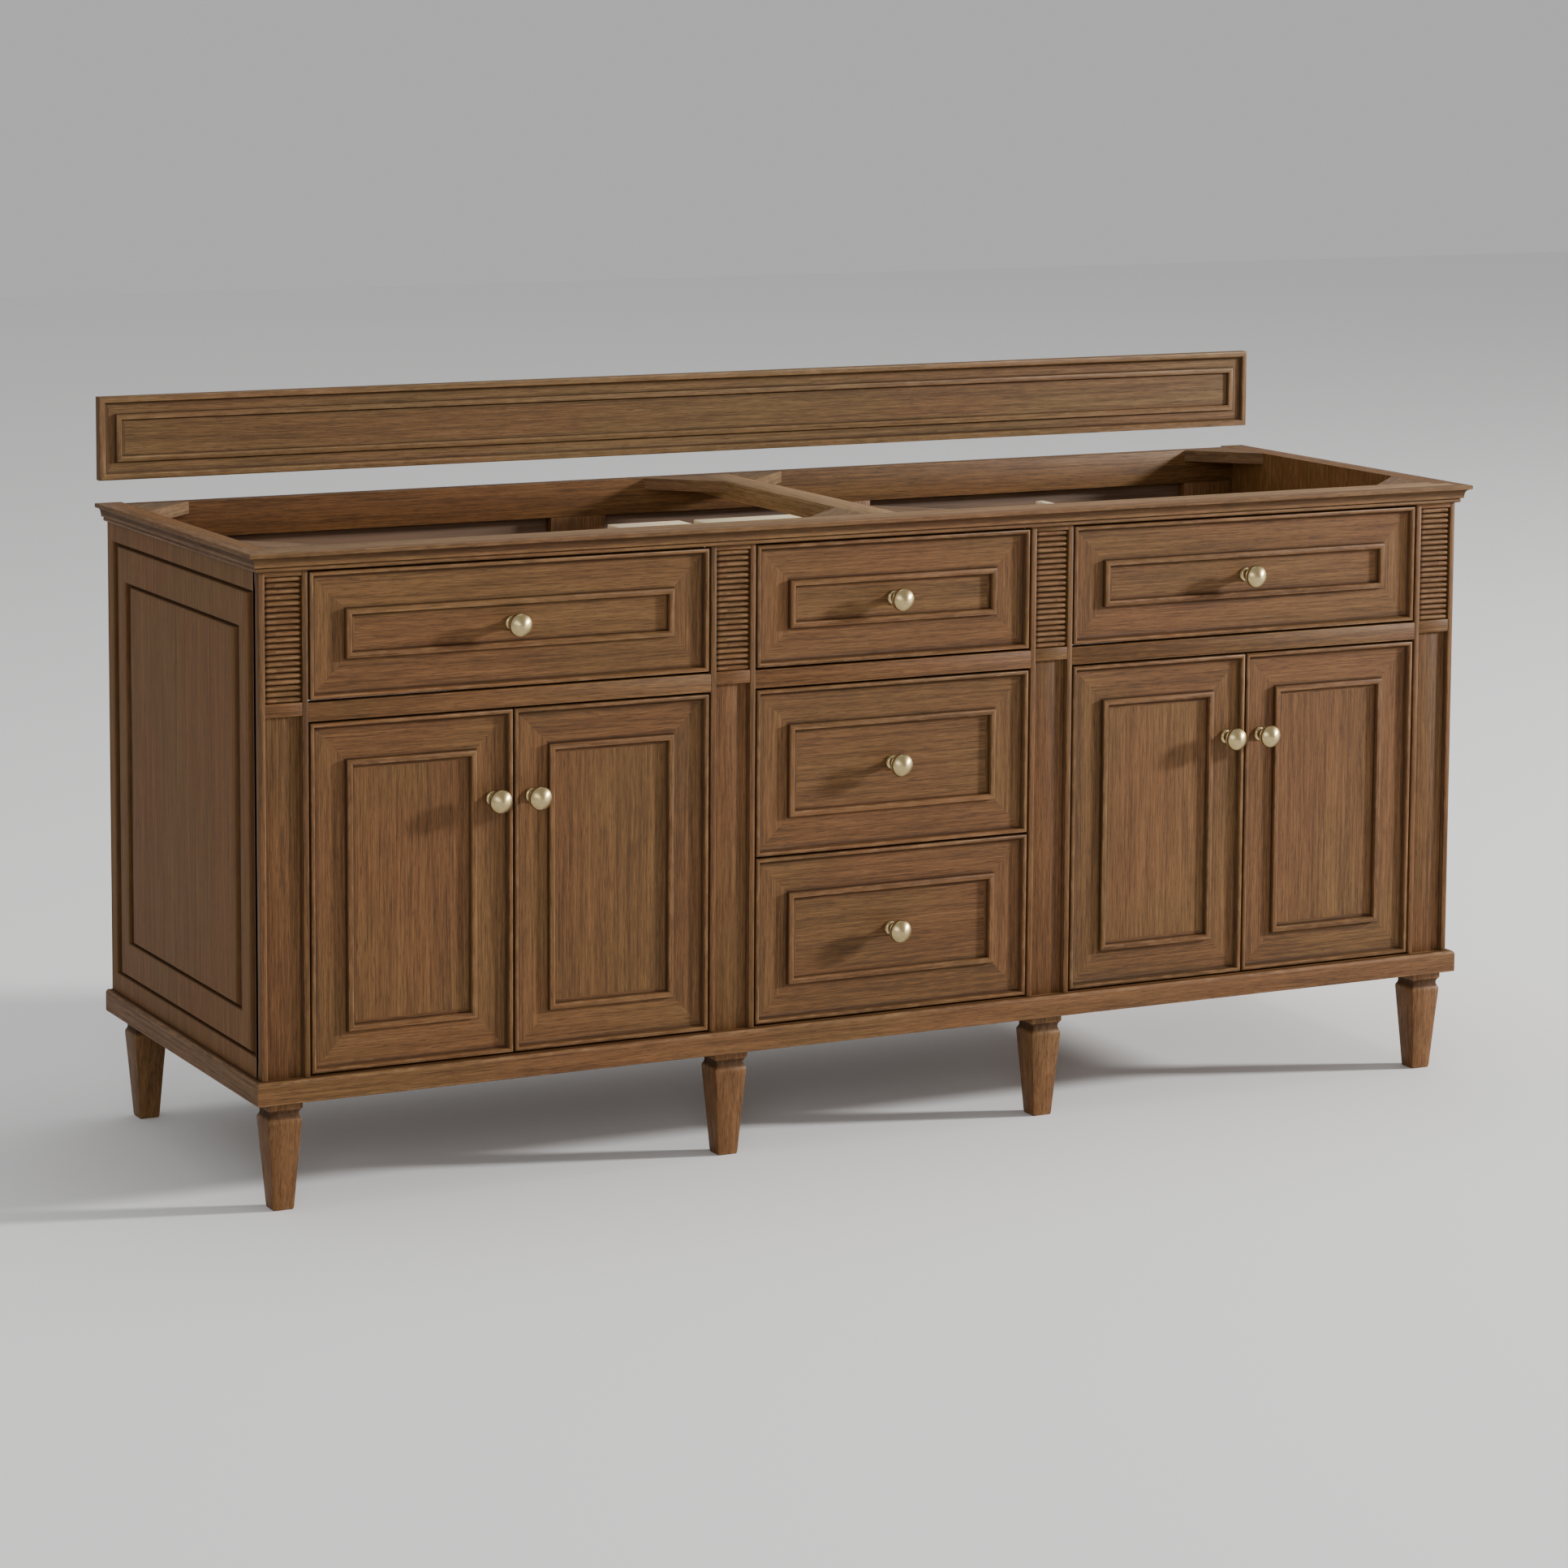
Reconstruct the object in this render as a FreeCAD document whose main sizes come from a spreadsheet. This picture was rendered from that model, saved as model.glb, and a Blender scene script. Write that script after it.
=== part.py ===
import FreeCAD, Part
import os
import Sketcher

# Double-bay bathroom vanity cabinet with five drawers and four doors.
# Millimetres. X runs along the front, the front faces -Y and Z is up from the floor.
# "Set back" lengths are taken from the crown moulding's front edge.

doc = FreeCAD.newDocument("vanity_cabinet")
sheet = doc.addObject("Spreadsheet::Sheet", "dims")

SIZES = [
    ("depth", 597, "crown front edge to cabinet back"),
    ("height", 839, "floor to the top of the cabinet"),
    ("crown_out", 17.5, "crown moulding beyond the carcass faces"),
    ("crown_tall", 25, "crown moulding height"),
    ("band_out", 9.5, "base band beyond the carcass faces"),
    ("band_tall", 29.5, "base band height"),
    ("leg_tall", 141, "foot height"),
    ("centre_wide", 416, "clear width of the centre drawer bay"),
    ("bay_wide", 560, "clear width of each sink bay"),
    ("pilaster_wide", 64.5, "width of each pilaster"),
    ("stile_thick", 20, "front framing thickness"),
    ("side_thick", 20, "side panel thickness"),
    ("partition_thick", 18, "inner partition thickness"),
    ("board_thick", 18, "bottom board thickness"),
    ("back_thick", 6, "back board thickness"),
    ("back_inset", 13, "back rail in from the cabinet back"),
    ("back_rail_tall", 50, "back rail height"),
    ("back_rail_thick", 19, "back rail and stile thickness"),
    ("back_stile_wide", 84, "width of the back frame's stiles"),
    ("back_lap", 20, "back boards up behind the back rail"),
    ("pipe_wide", 300, "pipe opening width"),
    ("pipe_tall", 240, "pipe opening height"),
    ("pipe_drop", 22.5, "pipe openings below the rail under the top drawers"),
    ("top_rail_deep", 42.5, "front top rail, front to back"),
    ("divider_wide", 48, "flat divider across the top opening"),
    ("gusset_leg", 85, "leg length of the corner gussets"),
    ("gusset_thick", 17, "gusset thickness"),
    ("partition_top", 762, "top of the partitions above the floor"),
    ("rail_low", 622.5, "underside of the rail below the top drawers"),
    ("rail_tall", 24, "height of that rail"),
    ("gap_wide", 3, "gap around each door and drawer front"),
    ("front_thick", 20, "door and drawer front thickness"),
    ("lip_wide", 5, "raised lip around a front"),
    ("relief_deep", 7, "depth of the sunk field"),
    ("bead_inset", 49, "bead rectangle in from a front's edge"),
    ("bead_wide", 8, "bead width"),
    ("fillet_wide", 7.5, "plain edge each side of a pilaster's recess"),
    ("recess_deep", 6, "depth of a pilaster's recesses"),
    ("block_low", 631, "underside of the plain block below the reeds"),
    ("reed_low", 648, "lowest reed's lower edge"),
    ("reed_pitch", 7.6, "spacing of the reeds"),
    ("reed_count", 21, "reeds on a pilaster"),
    ("reed_gap", 0.15, "half the gap between two reeds"),
    ("reed_backing", 1.5, "thickness of the board behind the reeds"),
    ("groove_deep", 5, "depth of the side panel grooves"),
    ("groove_wide", 9, "width of the side panel grooves"),
    ("groove_edge", 27, "outer groove in from the panel's front and back edges"),
    ("groove_step", 50, "inner groove in from the outer groove"),
    ("groove_low", 195, "outer groove's lowest point above the floor"),
    ("groove_high", 791, "outer groove's highest point above the floor"),
    ("foot_top", 46.5, "foot block across"),
    ("foot_neck", 39.5, "foot neck across"),
    ("foot_shoulder", 45, "widest part of the taper"),
    ("foot_toe", 27.7, "foot across at the floor"),
    ("foot_set_back", 41.3, "front foot centre from the crown's front edge"),
    ("foot_back_inset", 46, "back foot centre from the cabinet back"),
    ("foot_end_inset", 31.2, "end foot centre in from the carcass side"),
    ("splash_low", 870.3, "underside of the backsplash, one stone top above the cabinet"),
    ("splash_tall", 113, "backsplash height"),
    ("splash_wide", 1823, "backsplash length"),
    ("splash_thick", 16, "backsplash thickness"),
    ("splash_lip", 8, "raised lip around the backsplash"),
    ("splash_relief", 5, "depth of the backsplash's sunk field"),
    ("splash_bead_inset", 24, "backsplash bead in from its ends and edges"),
    ("knob_out", 31, "knob head beyond the front faces"),
    ("knob_radius", 15.5, "knob head radius"),
    ("knob_edge", 26, "door knob centre in from the door's meeting edge"),
    ("knob_drop", 114, "door knob centre below the door's top"),
    ("box_wall", 12, "drawer box wall thickness"),
    ("box_floor", 6, "drawer box floor thickness"),
    ("box_long", 480, "drawer box length"),
    ("box_clear", 14, "drawer box above its front's lower edge"),
    ("box_drop", 46, "drawer box below its front's upper edge"),
    ("notch_wide", 290, "basin notch in a sink bay's drawer box"),
    ("notch_front", 100, "drawer box length left in front of the notch"),
    ("runner_thick", 6, "thickness of each runner member"),
    ("runner_gap", 0.5, "gap between the two runner members"),
    ("runner_tall", 36, "runner height"),
    ("runner_rise", 20, "runner above the drawer box's underside"),
    ("runner_inset", 2, "runner ends in from the drawer box's ends"),
    ("cup_radius", 17.5, "door hinge cup radius"),
    ("cup_deep", 12, "door hinge cup behind the door"),
    ("cup_edge", 24, "hinge cup centre in from the hinge edge"),
    ("hinge_inset", 80, "hinge centre in from a door's top and bottom"),
    ("plate_wide", 24, "hinge plate width"),
    ("plate_thick", 8, "hinge plate thickness"),
    ("plate_tall", 40, "hinge plate height"),
    ("kicker_thick", 12, "thickness of the pale boards behind the front top rail"),
    ("kicker_deep", 53, "depth of those boards"),
    ("kicker_down", 2, "those boards below the cabinet's top"),
    ("kicker_out", 105, "left board beyond the centre bay's pilaster"),
    ("kicker_break", 20, "gap between the two boards"),
    ("kicker_end", 1, "right board short of the gusset"),
    ("post_wide", 12, "upright post on the right partition"),
    ("post_deep", 40, "depth of that post"),
    ("post_down", 1, "that post below the cabinet's top"),
]

for row, (alias, value, note) in enumerate(SIZES, start=1):
    sheet.set(f"A{row}", str(value))
    sheet.set(f"B{row}", note)
    sheet.setAlias(f"A{row}", alias)
doc.recompute()

# Positions that several parts share, as formulas.
SET_BACK_ZERO = "((dims.depth + dims.crown_out - dims.knob_out) / 2)"
FACE = f"(dims.crown_out - {SET_BACK_ZERO})"
BEHIND = f"({FACE} + dims.stile_thick)"
BACK = f"(dims.depth - {SET_BACK_ZERO})"
BACK_BOARD_FACE = f"({BACK} - dims.back_inset)"
BACK_RAIL_FACE = f"({BACK_BOARD_FACE} - dims.back_rail_thick)"
HALF = "(dims.centre_wide / 2 + 2 * dims.pilaster_wide + dims.bay_wide)"
INNER = f"({HALF} - dims.side_thick)"
BAY_IN = "(dims.centre_wide / 2 + dims.pilaster_wide)"
BAY_OUT = f"({BAY_IN} + dims.bay_wide)"
BAY_MIDDLE = f"({BAY_IN} + dims.bay_wide / 2)"
PARTITION_IN = f"({BAY_IN} - dims.partition_thick)"
UNDER = "(dims.height - dims.crown_tall)"
BAND_TOP = "(dims.leg_tall + dims.band_tall)"
RAIL_TOP = "(dims.rail_low + dims.rail_tall)"
TOP_RAIL_BACK = f"({FACE} + dims.top_rail_deep)"
FIELD = f"({FACE} + dims.relief_deep)"
SIDES = {"left": -1, "right": 1}

nodes = []


def keep(obj, label):
    """List a finished sub-part under the name of its file."""
    obj.Label = label
    nodes.append(obj)
    return obj


def mirrored(side, near, wide):
    """Low X of something `wide` across whose edge nearest the middle is at `near`."""
    return near if side > 0 else f"-({near}) - ({wide})"


def bind(obj, formulas):
    for prop, formula in formulas.items():
        obj.setExpression(prop, formula)
    return obj


def box(low, size):
    """A box from its low corner and its size, all formulas."""
    obj = doc.addObject("Part::Box", "box")
    return bind(obj, {
        "Placement.Base.x": low[0],
        "Placement.Base.y": low[1],
        "Placement.Base.z": low[2],
        "Length": size[0],
        "Width": size[1],
        "Height": size[2],
    })


def cut(base, tool):
    obj = doc.addObject("Part::Cut", "cut")
    obj.Base = base
    obj.Tool = tool
    return obj


def fuse(parts):
    obj = doc.addObject("Part::MultiFuse", "fuse")
    obj.Shapes = parts
    obj.Refine = True
    return obj


def together(parts):
    """Separate solids that belong to one sub-part."""
    obj = doc.addObject("Part::Compound", "set")
    obj.Links = parts
    return obj


def ring(low, size, wall, axes):
    """A rectangular ring, `wall` wide, seen along the axis that isn't in `axes`."""
    inner_low = list(low)
    inner_size = list(size)
    for axis in axes:
        inner_low[axis] = f"{low[axis]} + {wall}"
        inner_size[axis] = f"{size[axis]} - 2 * {wall}"
    return cut(box(low, size), box(inner_low, inner_size))


def outline(points, placement):
    """A closed sketch of straight lines; every corner is held by two formulas."""
    sketch = doc.addObject("Sketcher::SketchObject", "outline")
    sketch.Placement = placement
    rough = [FreeCAD.Vector(10 * (i % 3), 10 * i, 0) for i in range(len(points))]
    for i, point in enumerate(rough):
        sketch.addGeometry(Part.LineSegment(point, rough[(i + 1) % len(rough)]), False)
    for i in range(len(points)):
        follows = (i + 1) % len(points)
        sketch.addConstraint(Sketcher.Constraint("Coincident", i, 2, follows, 1))
    for i, formulas in enumerate(points):
        for kind, start, formula in zip(("DistanceX", "DistanceY"), rough[i], formulas):
            number = sketch.addConstraint(Sketcher.Constraint(kind, -1, 1, i, 1, start))
            sketch.renameConstraint(number, f"{kind}_{i}")
            sketch.setExpression(f"Constraints.{kind}_{i}", formula)
    return sketch


def upright(across, up, out):
    """A sketch placement with sketch X along `across` and sketch Y along `up`."""
    turn = FreeCAD.Rotation(FreeCAD.Vector(*across), FreeCAD.Vector(*up), FreeCAD.Vector(*out), "XYZ")
    return FreeCAD.Placement(FreeCAD.Vector(), turn)


def at(sketch, low):
    return bind(sketch, {
        "Placement.Base.x": low[0],
        "Placement.Base.y": low[1],
        "Placement.Base.z": low[2],
    })


def loft(sections):
    obj = doc.addObject("Part::Loft", "loft")
    obj.Sections = sections
    obj.Solid = True
    obj.Ruled = True
    return obj


def moulding_section(profile, corner, direction):
    """A moulding's end, square across the run or, at a corner, along the mitre."""
    across = (direction[0], direction[1], 0)
    stretch = "sqrt(2)" if direction[0] and direction[1] else "1"
    points = [(f"({out}) * {stretch}", up) for out, up in profile]
    out_of_plane = (direction[1], -direction[0], 0)
    return at(outline(points, upright(across, (0, 0, 1), out_of_plane)), corner)


def moulding(label, profile, low):
    """Front and side runs of a moulding that goes round the front and both ends."""
    def corner(side):
        return (f"{side} * {HALF}", FACE, low)
    ends = [moulding_section(profile, corner(side), (side, -1)) for side in (-1, 1)]
    keep(loft(ends), f"{label}_front")
    returns = []
    for side in (-1, 1):
        mitre = moulding_section(profile, corner(side), (side, -1))
        tail = moulding_section(profile, (f"{side} * {HALF}", BACK, low), (side, 0))
        returns.append(loft([mitre, tail]))
    keep(together(returns), f"{label}_sides")


CROWN = [
    ("0", "0"),
    ("dims.crown_out * 0.26", "0"),
    ("dims.crown_out * 0.32", "dims.crown_tall * 0.10"),
    ("dims.crown_out * 0.30", "dims.crown_tall * 0.22"),
    ("dims.crown_out * 0.49", "dims.crown_tall * 0.28"),
    ("dims.crown_out * 0.52", "dims.crown_tall * 0.40"),
    ("dims.crown_out * 0.60", "dims.crown_tall * 0.56"),
    ("dims.crown_out * 0.80", "dims.crown_tall * 0.74"),
    ("dims.crown_out", "dims.crown_tall * 0.77"),
    ("dims.crown_out", "dims.crown_tall"),
    ("0", "dims.crown_tall"),
]

BAND = [
    ("0", "0"),
    ("dims.band_out", "0"),
    ("dims.band_out", "dims.band_tall * 0.93"),
    ("dims.band_out * 0.78", "dims.band_tall"),
    ("0", "dims.band_tall"),
]


def carcass():
    side_deep = f"{BACK} - {BEHIND}"
    partitions = []
    for name, side in SIDES.items():
        board = box(
            (mirrored(side, INNER, "dims.side_thick"), BEHIND, "dims.leg_tall"),
            ("dims.side_thick", side_deep, "dims.height - dims.leg_tall"),
        )
        for steps in (0, 1):
            inset = f"(dims.groove_edge + {steps} * dims.groove_step)"
            rise = f"({steps} * dims.groove_step)"
            groove = ring(
                (
                    mirrored(side, f"{HALF} - dims.groove_deep", "dims.groove_deep"),
                    f"{FACE} + {inset}",
                    f"dims.groove_low + {rise}",
                ),
                (
                    "dims.groove_deep",
                    f"{BACK} - {FACE} - 2 * {inset}",
                    f"dims.groove_high - dims.groove_low - 2 * {rise}",
                ),
                "dims.groove_wide",
                (1, 2),
            )
            board = cut(board, groove)
        keep(board, f"side_panel_{name}")
        partitions.append(box(
            (mirrored(side, PARTITION_IN, "dims.partition_thick"), BEHIND, BAND_TOP),
            ("dims.partition_thick", f"{BACK_BOARD_FACE} - {BEHIND}", f"dims.partition_top - {BAND_TOP}"),
        ))
    keep(together(partitions), "partitions")
    keep(box(
        (f"-{INNER}", BEHIND, f"{BAND_TOP} - dims.board_thick"),
        (f"2 * {INNER}", f"{BACK_BOARD_FACE} - {BEHIND}", "dims.board_thick"),
    ), "bottom_board")
    keep(box(
        (f"-{HALF}", FACE, "dims.leg_tall"),
        (f"2 * {HALF}", "dims.stile_thick", "dims.band_tall"),
    ), "bottom_rail")
    back_frame()
    back_boards()


def back_frame():
    """The back rail and the four stiles under it."""
    rail_low = "(dims.height - dims.back_rail_tall)"
    stile_tall = f"{rail_low} - {BAND_TOP}"
    parts = [box(
        (f"-{INNER}", BACK_RAIL_FACE, rail_low),
        (f"2 * {INNER}", "dims.back_rail_thick", "dims.back_rail_tall"),
    )]
    for side in SIDES.values():
        for outer_edge in (PARTITION_IN, INNER):
            parts.append(box(
                (mirrored(side, f"{outer_edge} - dims.back_stile_wide", "dims.back_stile_wide"),
                 BACK_RAIL_FACE, BAND_TOP),
                ("dims.back_stile_wide", "dims.back_rail_thick", stile_tall),
            ))
    keep(together(parts), "back_frame")


def back_boards():
    """The boards on the back of that frame, with a pipe opening behind each sink bay."""
    low = f"({BAND_TOP} - dims.board_thick)"
    high = "(dims.height - dims.back_rail_tall + dims.back_lap)"
    pipe_high = "(dims.rail_low - dims.pipe_drop)"
    pipe_low = f"({pipe_high} - dims.pipe_tall)"
    inner_edge = f"({BAY_MIDDLE} - dims.pipe_wide / 2)"
    outer_edge = f"({BAY_MIDDLE} + dims.pipe_wide / 2)"
    wide = f"2 * {INNER}"
    boards = [
        box((f"-{INNER}", BACK_BOARD_FACE, low), (wide, "dims.back_thick", f"{pipe_low} - {low}")),
        box((f"-{INNER}", BACK_BOARD_FACE, pipe_high), (wide, "dims.back_thick", f"{high} - {pipe_high}")),
    ]
    strip = ("dims.back_thick", "dims.pipe_tall")
    boards.append(box((f"-{inner_edge}", BACK_BOARD_FACE, pipe_low), (f"2 * {inner_edge}", *strip)))
    for side in SIDES.values():
        end_wide = f"{INNER} - {outer_edge}"
        boards.append(box((mirrored(side, outer_edge, end_wide), BACK_BOARD_FACE, pipe_low),
                          (end_wide, *strip)))
    keep(together(boards), "back_boards")


def top_frame():
    keep(fuse([
        box((f"-{HALF}", FACE, UNDER), (f"2 * {HALF}", "dims.stile_thick", "dims.crown_tall")),
        box((f"-{INNER}", BEHIND, UNDER),
            (f"2 * {INNER}", "dims.top_rail_deep - dims.stile_thick", "dims.crown_tall")),
    ]), "top_rail_front")
    keep(box(
        ("-dims.divider_wide / 2", TOP_RAIL_BACK, UNDER),
        ("dims.divider_wide", f"{BACK_RAIL_FACE} - {TOP_RAIL_BACK}", "dims.crown_tall"),
    ), "top_divider")
    gussets()


def gussets():
    """Triangular blocks in every corner of the two top openings."""
    blocks = []
    for side in (-1, 1):
        for corner, inward in ((f"{side} * {INNER}", -side), (f"{side} * dims.divider_wide / 2", side)):
            for depth, rearward in ((TOP_RAIL_BACK, 1), (BACK_RAIL_FACE, -1)):
                sketch = doc.addObject("Sketcher::SketchObject", "triangle")
                tips = ((0, 0), (inward, 0), (0, rearward))
                corners = [FreeCAD.Vector(10 * x, 10 * y, 0) for x, y in tips]
                for i in range(3):
                    sketch.addGeometry(Part.LineSegment(corners[i], corners[(i + 1) % 3]), False)
                for i in range(3):
                    sketch.addConstraint(Sketcher.Constraint("Coincident", i, 2, (i + 1) % 3, 1))
                sketch.addConstraint(Sketcher.Constraint("Coincident", 0, 1, -1, 1))
                sketch.addConstraint(Sketcher.Constraint("Horizontal", 0))
                sketch.addConstraint(Sketcher.Constraint("Vertical", 2))
                for line, name in ((0, "across"), (2, "deep")):
                    number = sketch.addConstraint(Sketcher.Constraint("Distance", line, 10))
                    sketch.renameConstraint(number, name)
                    sketch.setExpression(f"Constraints.{name}", "dims.gusset_leg")
                at(sketch, (corner, depth, "dims.height - dims.gusset_thick"))
                block = doc.addObject("Part::Extrusion", "gusset")
                block.Base = sketch
                block.DirMode = "Custom"
                block.Dir = FreeCAD.Vector(0, 0, 1)
                block.Solid = True
                block.setExpression("LengthFwd", "dims.gusset_thick")
                blocks.append(block)
    keep(together(blocks), "corner_gussets")


def pilasters():
    """Four pilasters: reeds above a plain block, and a sunk panel below."""
    reed_boards = []
    starts = [f"-{HALF}", f"-{BAY_IN}", "dims.centre_wide / 2", BAY_OUT]
    inner_wide = "dims.pilaster_wide - 2 * dims.fillet_wide"
    reed_tall = "dims.reed_count * dims.reed_pitch"
    for number, start in enumerate(starts, start=1):
        stile_tall = f"{UNDER} - {BAND_TOP}"
        stile = box((start, FACE, BAND_TOP), ("dims.pilaster_wide", "dims.stile_thick", stile_tall))
        recess_x = f"{start} + dims.fillet_wide"
        upper = box((recess_x, FACE, "dims.reed_low"), (inner_wide, "dims.recess_deep", reed_tall))
        below_block = f"dims.block_low - {BAND_TOP}"
        lower = box((recess_x, FACE, BAND_TOP), (inner_wide, "dims.recess_deep", below_block))
        keep(cut(cut(stile, upper), lower), f"pilaster_{number}")
        reed_boards.append(reeds(recess_x, inner_wide, reed_tall))
    keep(together(reed_boards), "reed_panels")


def reeds(low_x, wide, tall):
    """Half-round reeds, one above another, on a thin backing."""
    backing = f"({FACE} + dims.recess_deep - dims.reed_backing)"
    parts = [box((low_x, backing, "dims.reed_low"), (wide, "dims.reed_backing", tall))]
    for step in range(int(sheet.get("reed_count"))):
        reed = doc.addObject("Part::Cylinder", "reed")
        reed.Placement = upright((0, 0, 1), (0, -1, 0), (1, 0, 0))
        parts.append(bind(reed, {
            "Radius": "dims.reed_pitch / 2 - dims.reed_gap",
            "Height": wide,
            "Angle": "180",
            "Placement.Base.x": low_x,
            "Placement.Base.y": backing,
            "Placement.Base.z": f"dims.reed_low + dims.reed_pitch * ({step} + 0.5)",
        }))
    return fuse(parts)


def rails():
    """The rails between the top drawers and what is below them."""
    bays = [(f"-{BAY_OUT}", "dims.bay_wide"), ("-dims.centre_wide / 2", "dims.centre_wide"),
            (BAY_IN, "dims.bay_wide")]
    keep(together([
        box((start, FACE, "dims.rail_low"), (wide, "dims.stile_thick", "dims.rail_tall"))
        for start, wide in bays
    ]), "drawer_rails")


def foot(x, y):
    """A square foot: block, coved neck, then a taper to the floor."""
    levels = [
        ("1", "dims.foot_top"),
        ("0.94", "dims.foot_top"),
        ("0.90", "dims.foot_neck"),
        ("0.86", "dims.foot_neck"),
        ("0.82", "dims.foot_shoulder"),
        ("0", "dims.foot_toe"),
    ]
    sections = []
    for share, across in levels:
        corners = [("0", "0"), (across, "0"), (across, across), ("0", across)]
        flat = upright((1, 0, 0), (0, 1, 0), (0, 0, 1))
        low = (f"{x} - {across} / 2", f"{y} - {across} / 2", f"dims.leg_tall * {share}")
        sections.append(at(outline(corners, flat), low))
    return loft(sections)


def feet():
    front = f"(dims.foot_set_back - {SET_BACK_ZERO})"
    back = f"({BACK} - dims.foot_back_inset)"
    end = f"({HALF} - dims.foot_end_inset)"
    middle = "(dims.centre_wide / 2 + dims.pilaster_wide / 2)"
    places = [f"-{end}", f"-{middle}", middle, end]
    keep(together([foot(x, front) for x in places]), "feet_front")
    keep(together([foot(x, back) for x in (f"-{end}", end)]), "feet_back")


def backsplash():
    face = f"({BACK} - dims.splash_thick)"
    low = ("-dims.splash_wide / 2", face, "dims.splash_low")
    size = ("dims.splash_wide", "dims.splash_thick", "dims.splash_tall")
    field = [f"{low[0]} + dims.splash_lip", face, f"{low[2]} + dims.splash_lip"]
    field_size = [f"{size[0]} - 2 * dims.splash_lip", "dims.splash_relief",
                  f"{size[2]} - 2 * dims.splash_lip"]
    keep(cut(box(low, size), box(field, field_size)), "backsplash_board")
    bead_low = (f"{low[0]} + dims.splash_bead_inset", face, f"{low[2]} + dims.splash_bead_inset")
    bead_size = (f"{size[0]} - 2 * dims.splash_bead_inset", "dims.splash_relief",
                 f"{size[2]} - 2 * dims.splash_bead_inset")
    keep(ring(bead_low, bead_size, "dims.bead_wide", (0, 2)), "backsplash_bead")


def relief_front(low_x, low_z, wide, tall):
    """A door or drawer front: raised lip, sunk field, bead rectangle, flat centre."""
    board = box((low_x, FACE, low_z), (wide, "dims.front_thick", tall))
    sunk = box(
        (f"{low_x} + dims.lip_wide", FACE, f"{low_z} + dims.lip_wide"),
        (f"{wide} - 2 * dims.lip_wide", "dims.relief_deep", f"{tall} - 2 * dims.lip_wide"),
    )
    bead = ring(
        (f"{low_x} + dims.bead_inset", FACE, f"{low_z} + dims.bead_inset"),
        (f"{wide} - 2 * dims.bead_inset", "dims.relief_deep", f"{tall} - 2 * dims.bead_inset"),
        "dims.bead_wide",
        (0, 2),
    )
    return fuse([cut(board, sunk), bead])


KNOB = [
    ("0", "0"), ("0.61", "0"), ("0.61", "0.06"), ("0.38", "0.10"), ("0.35", "0.47"), ("0.58", "0.58"),
    ("0.93", "0.67"), ("1", "0.75"), ("0.97", "0.84"), ("0.77", "0.93"), ("0.45", "0.985"), ("0", "1"),
]


def knob(x, z, label):
    long = "(dims.knob_out + dims.relief_deep)"
    points = [(f"dims.knob_radius * {r}", f"{long} * {out}") for r, out in KNOB]
    profile = at(outline(points, upright((1, 0, 0), (0, -1, 0), (0, 0, -1))), (x, FIELD, z))
    turned = doc.addObject("Part::Revolution", "knob")
    turned.Source = profile
    turned.Axis = FreeCAD.Vector(0, -1, 0)
    turned.Angle = 360
    turned.Solid = True
    bind(turned, {"Base.x": x, "Base.y": FIELD, "Base.z": z})
    keep(turned, label)


def runner_z(low_z):
    return f"({low_z} + dims.box_clear + dims.runner_rise)"


def runner_pair(middle_x, bay_wide, low_z, member):
    """The two fixed or the two moving runner members of one drawer."""
    from_bay = "0" if member == "fixed" else "dims.runner_thick + dims.runner_gap"
    pair = []
    for side in (-1, 1):
        near = f"({bay_wide}) / 2 - ({from_bay}) - dims.runner_thick"
        offset = f"-({near}) - dims.runner_thick" if side < 0 else near
        pair.append(box(
            (f"({middle_x}) + {offset}", f"{BEHIND} + dims.runner_inset", runner_z(low_z)),
            ("dims.runner_thick", "dims.box_long - 2 * dims.runner_inset", "dims.runner_tall"),
        ))
    return pair


def plain_box(low, size):
    """Four walls and a floor."""
    wall = "dims.box_wall"
    inner_wide = f"{size[0]} - 2 * {wall}"
    return [
        box(low, (wall, size[1], size[2])),
        box((f"{low[0]} + {size[0]} - {wall}", low[1], low[2]), (wall, size[1], size[2])),
        box((f"{low[0]} + {wall}", low[1], low[2]), (inner_wide, wall, size[2])),
        box((f"{low[0]} + {wall}", f"{low[1]} + {size[1]} - {wall}", low[2]), (inner_wide, wall, size[2])),
        box((f"{low[0]} + {wall}", f"{low[1]} + {wall}", low[2]),
            (inner_wide, f"{size[1]} - 2 * {wall}", "dims.box_floor")),
    ]


def notched_box(low, size):
    """A drawer box whose middle is left out at the back, round a basin."""
    wall = "dims.box_wall"
    x, y, z = low
    wide, long, tall = size
    arm = f"(({wide} - dims.notch_wide) / 2)"
    right = f"({x} + {wide} - {arm})"
    arm_long = f"({long} - dims.notch_front)"
    behind = f"({y} + dims.notch_front)"
    clear = f"({arm} - 2 * {wall})"
    parts = [
        box((x, y, z), (wall, long, tall)),
        box((f"{x} + {wide} - {wall}", y, z), (wall, long, tall)),
        box((f"{x} + {wall}", y, z), (f"{wide} - 2 * {wall}", wall, tall)),
        box((f"{x} + {arm}", f"{behind} - {wall}", z), ("dims.notch_wide", wall, tall)),
        box((f"{x} + {wall}", f"{y} + {wall}", z),
            (f"{wide} - 2 * {wall}", f"dims.notch_front - 2 * {wall}", "dims.box_floor")),
    ]
    for start, inner_wall, floor in (
        (x, f"{x} + {arm} - {wall}", f"{x} + {wall}"),
        (right, right, f"{right} + {wall}"),
    ):
        parts.append(box((inner_wall, f"{behind} - {wall}", z), (wall, f"{arm_long} + {wall}", tall)))
        parts.append(box((floor, f"{y} + {long} - {wall}", z), (clear, wall, tall)))
        parts.append(box((floor, f"{behind} - {wall}", z), (clear, arm_long, "dims.box_floor")))
    return parts


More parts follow.
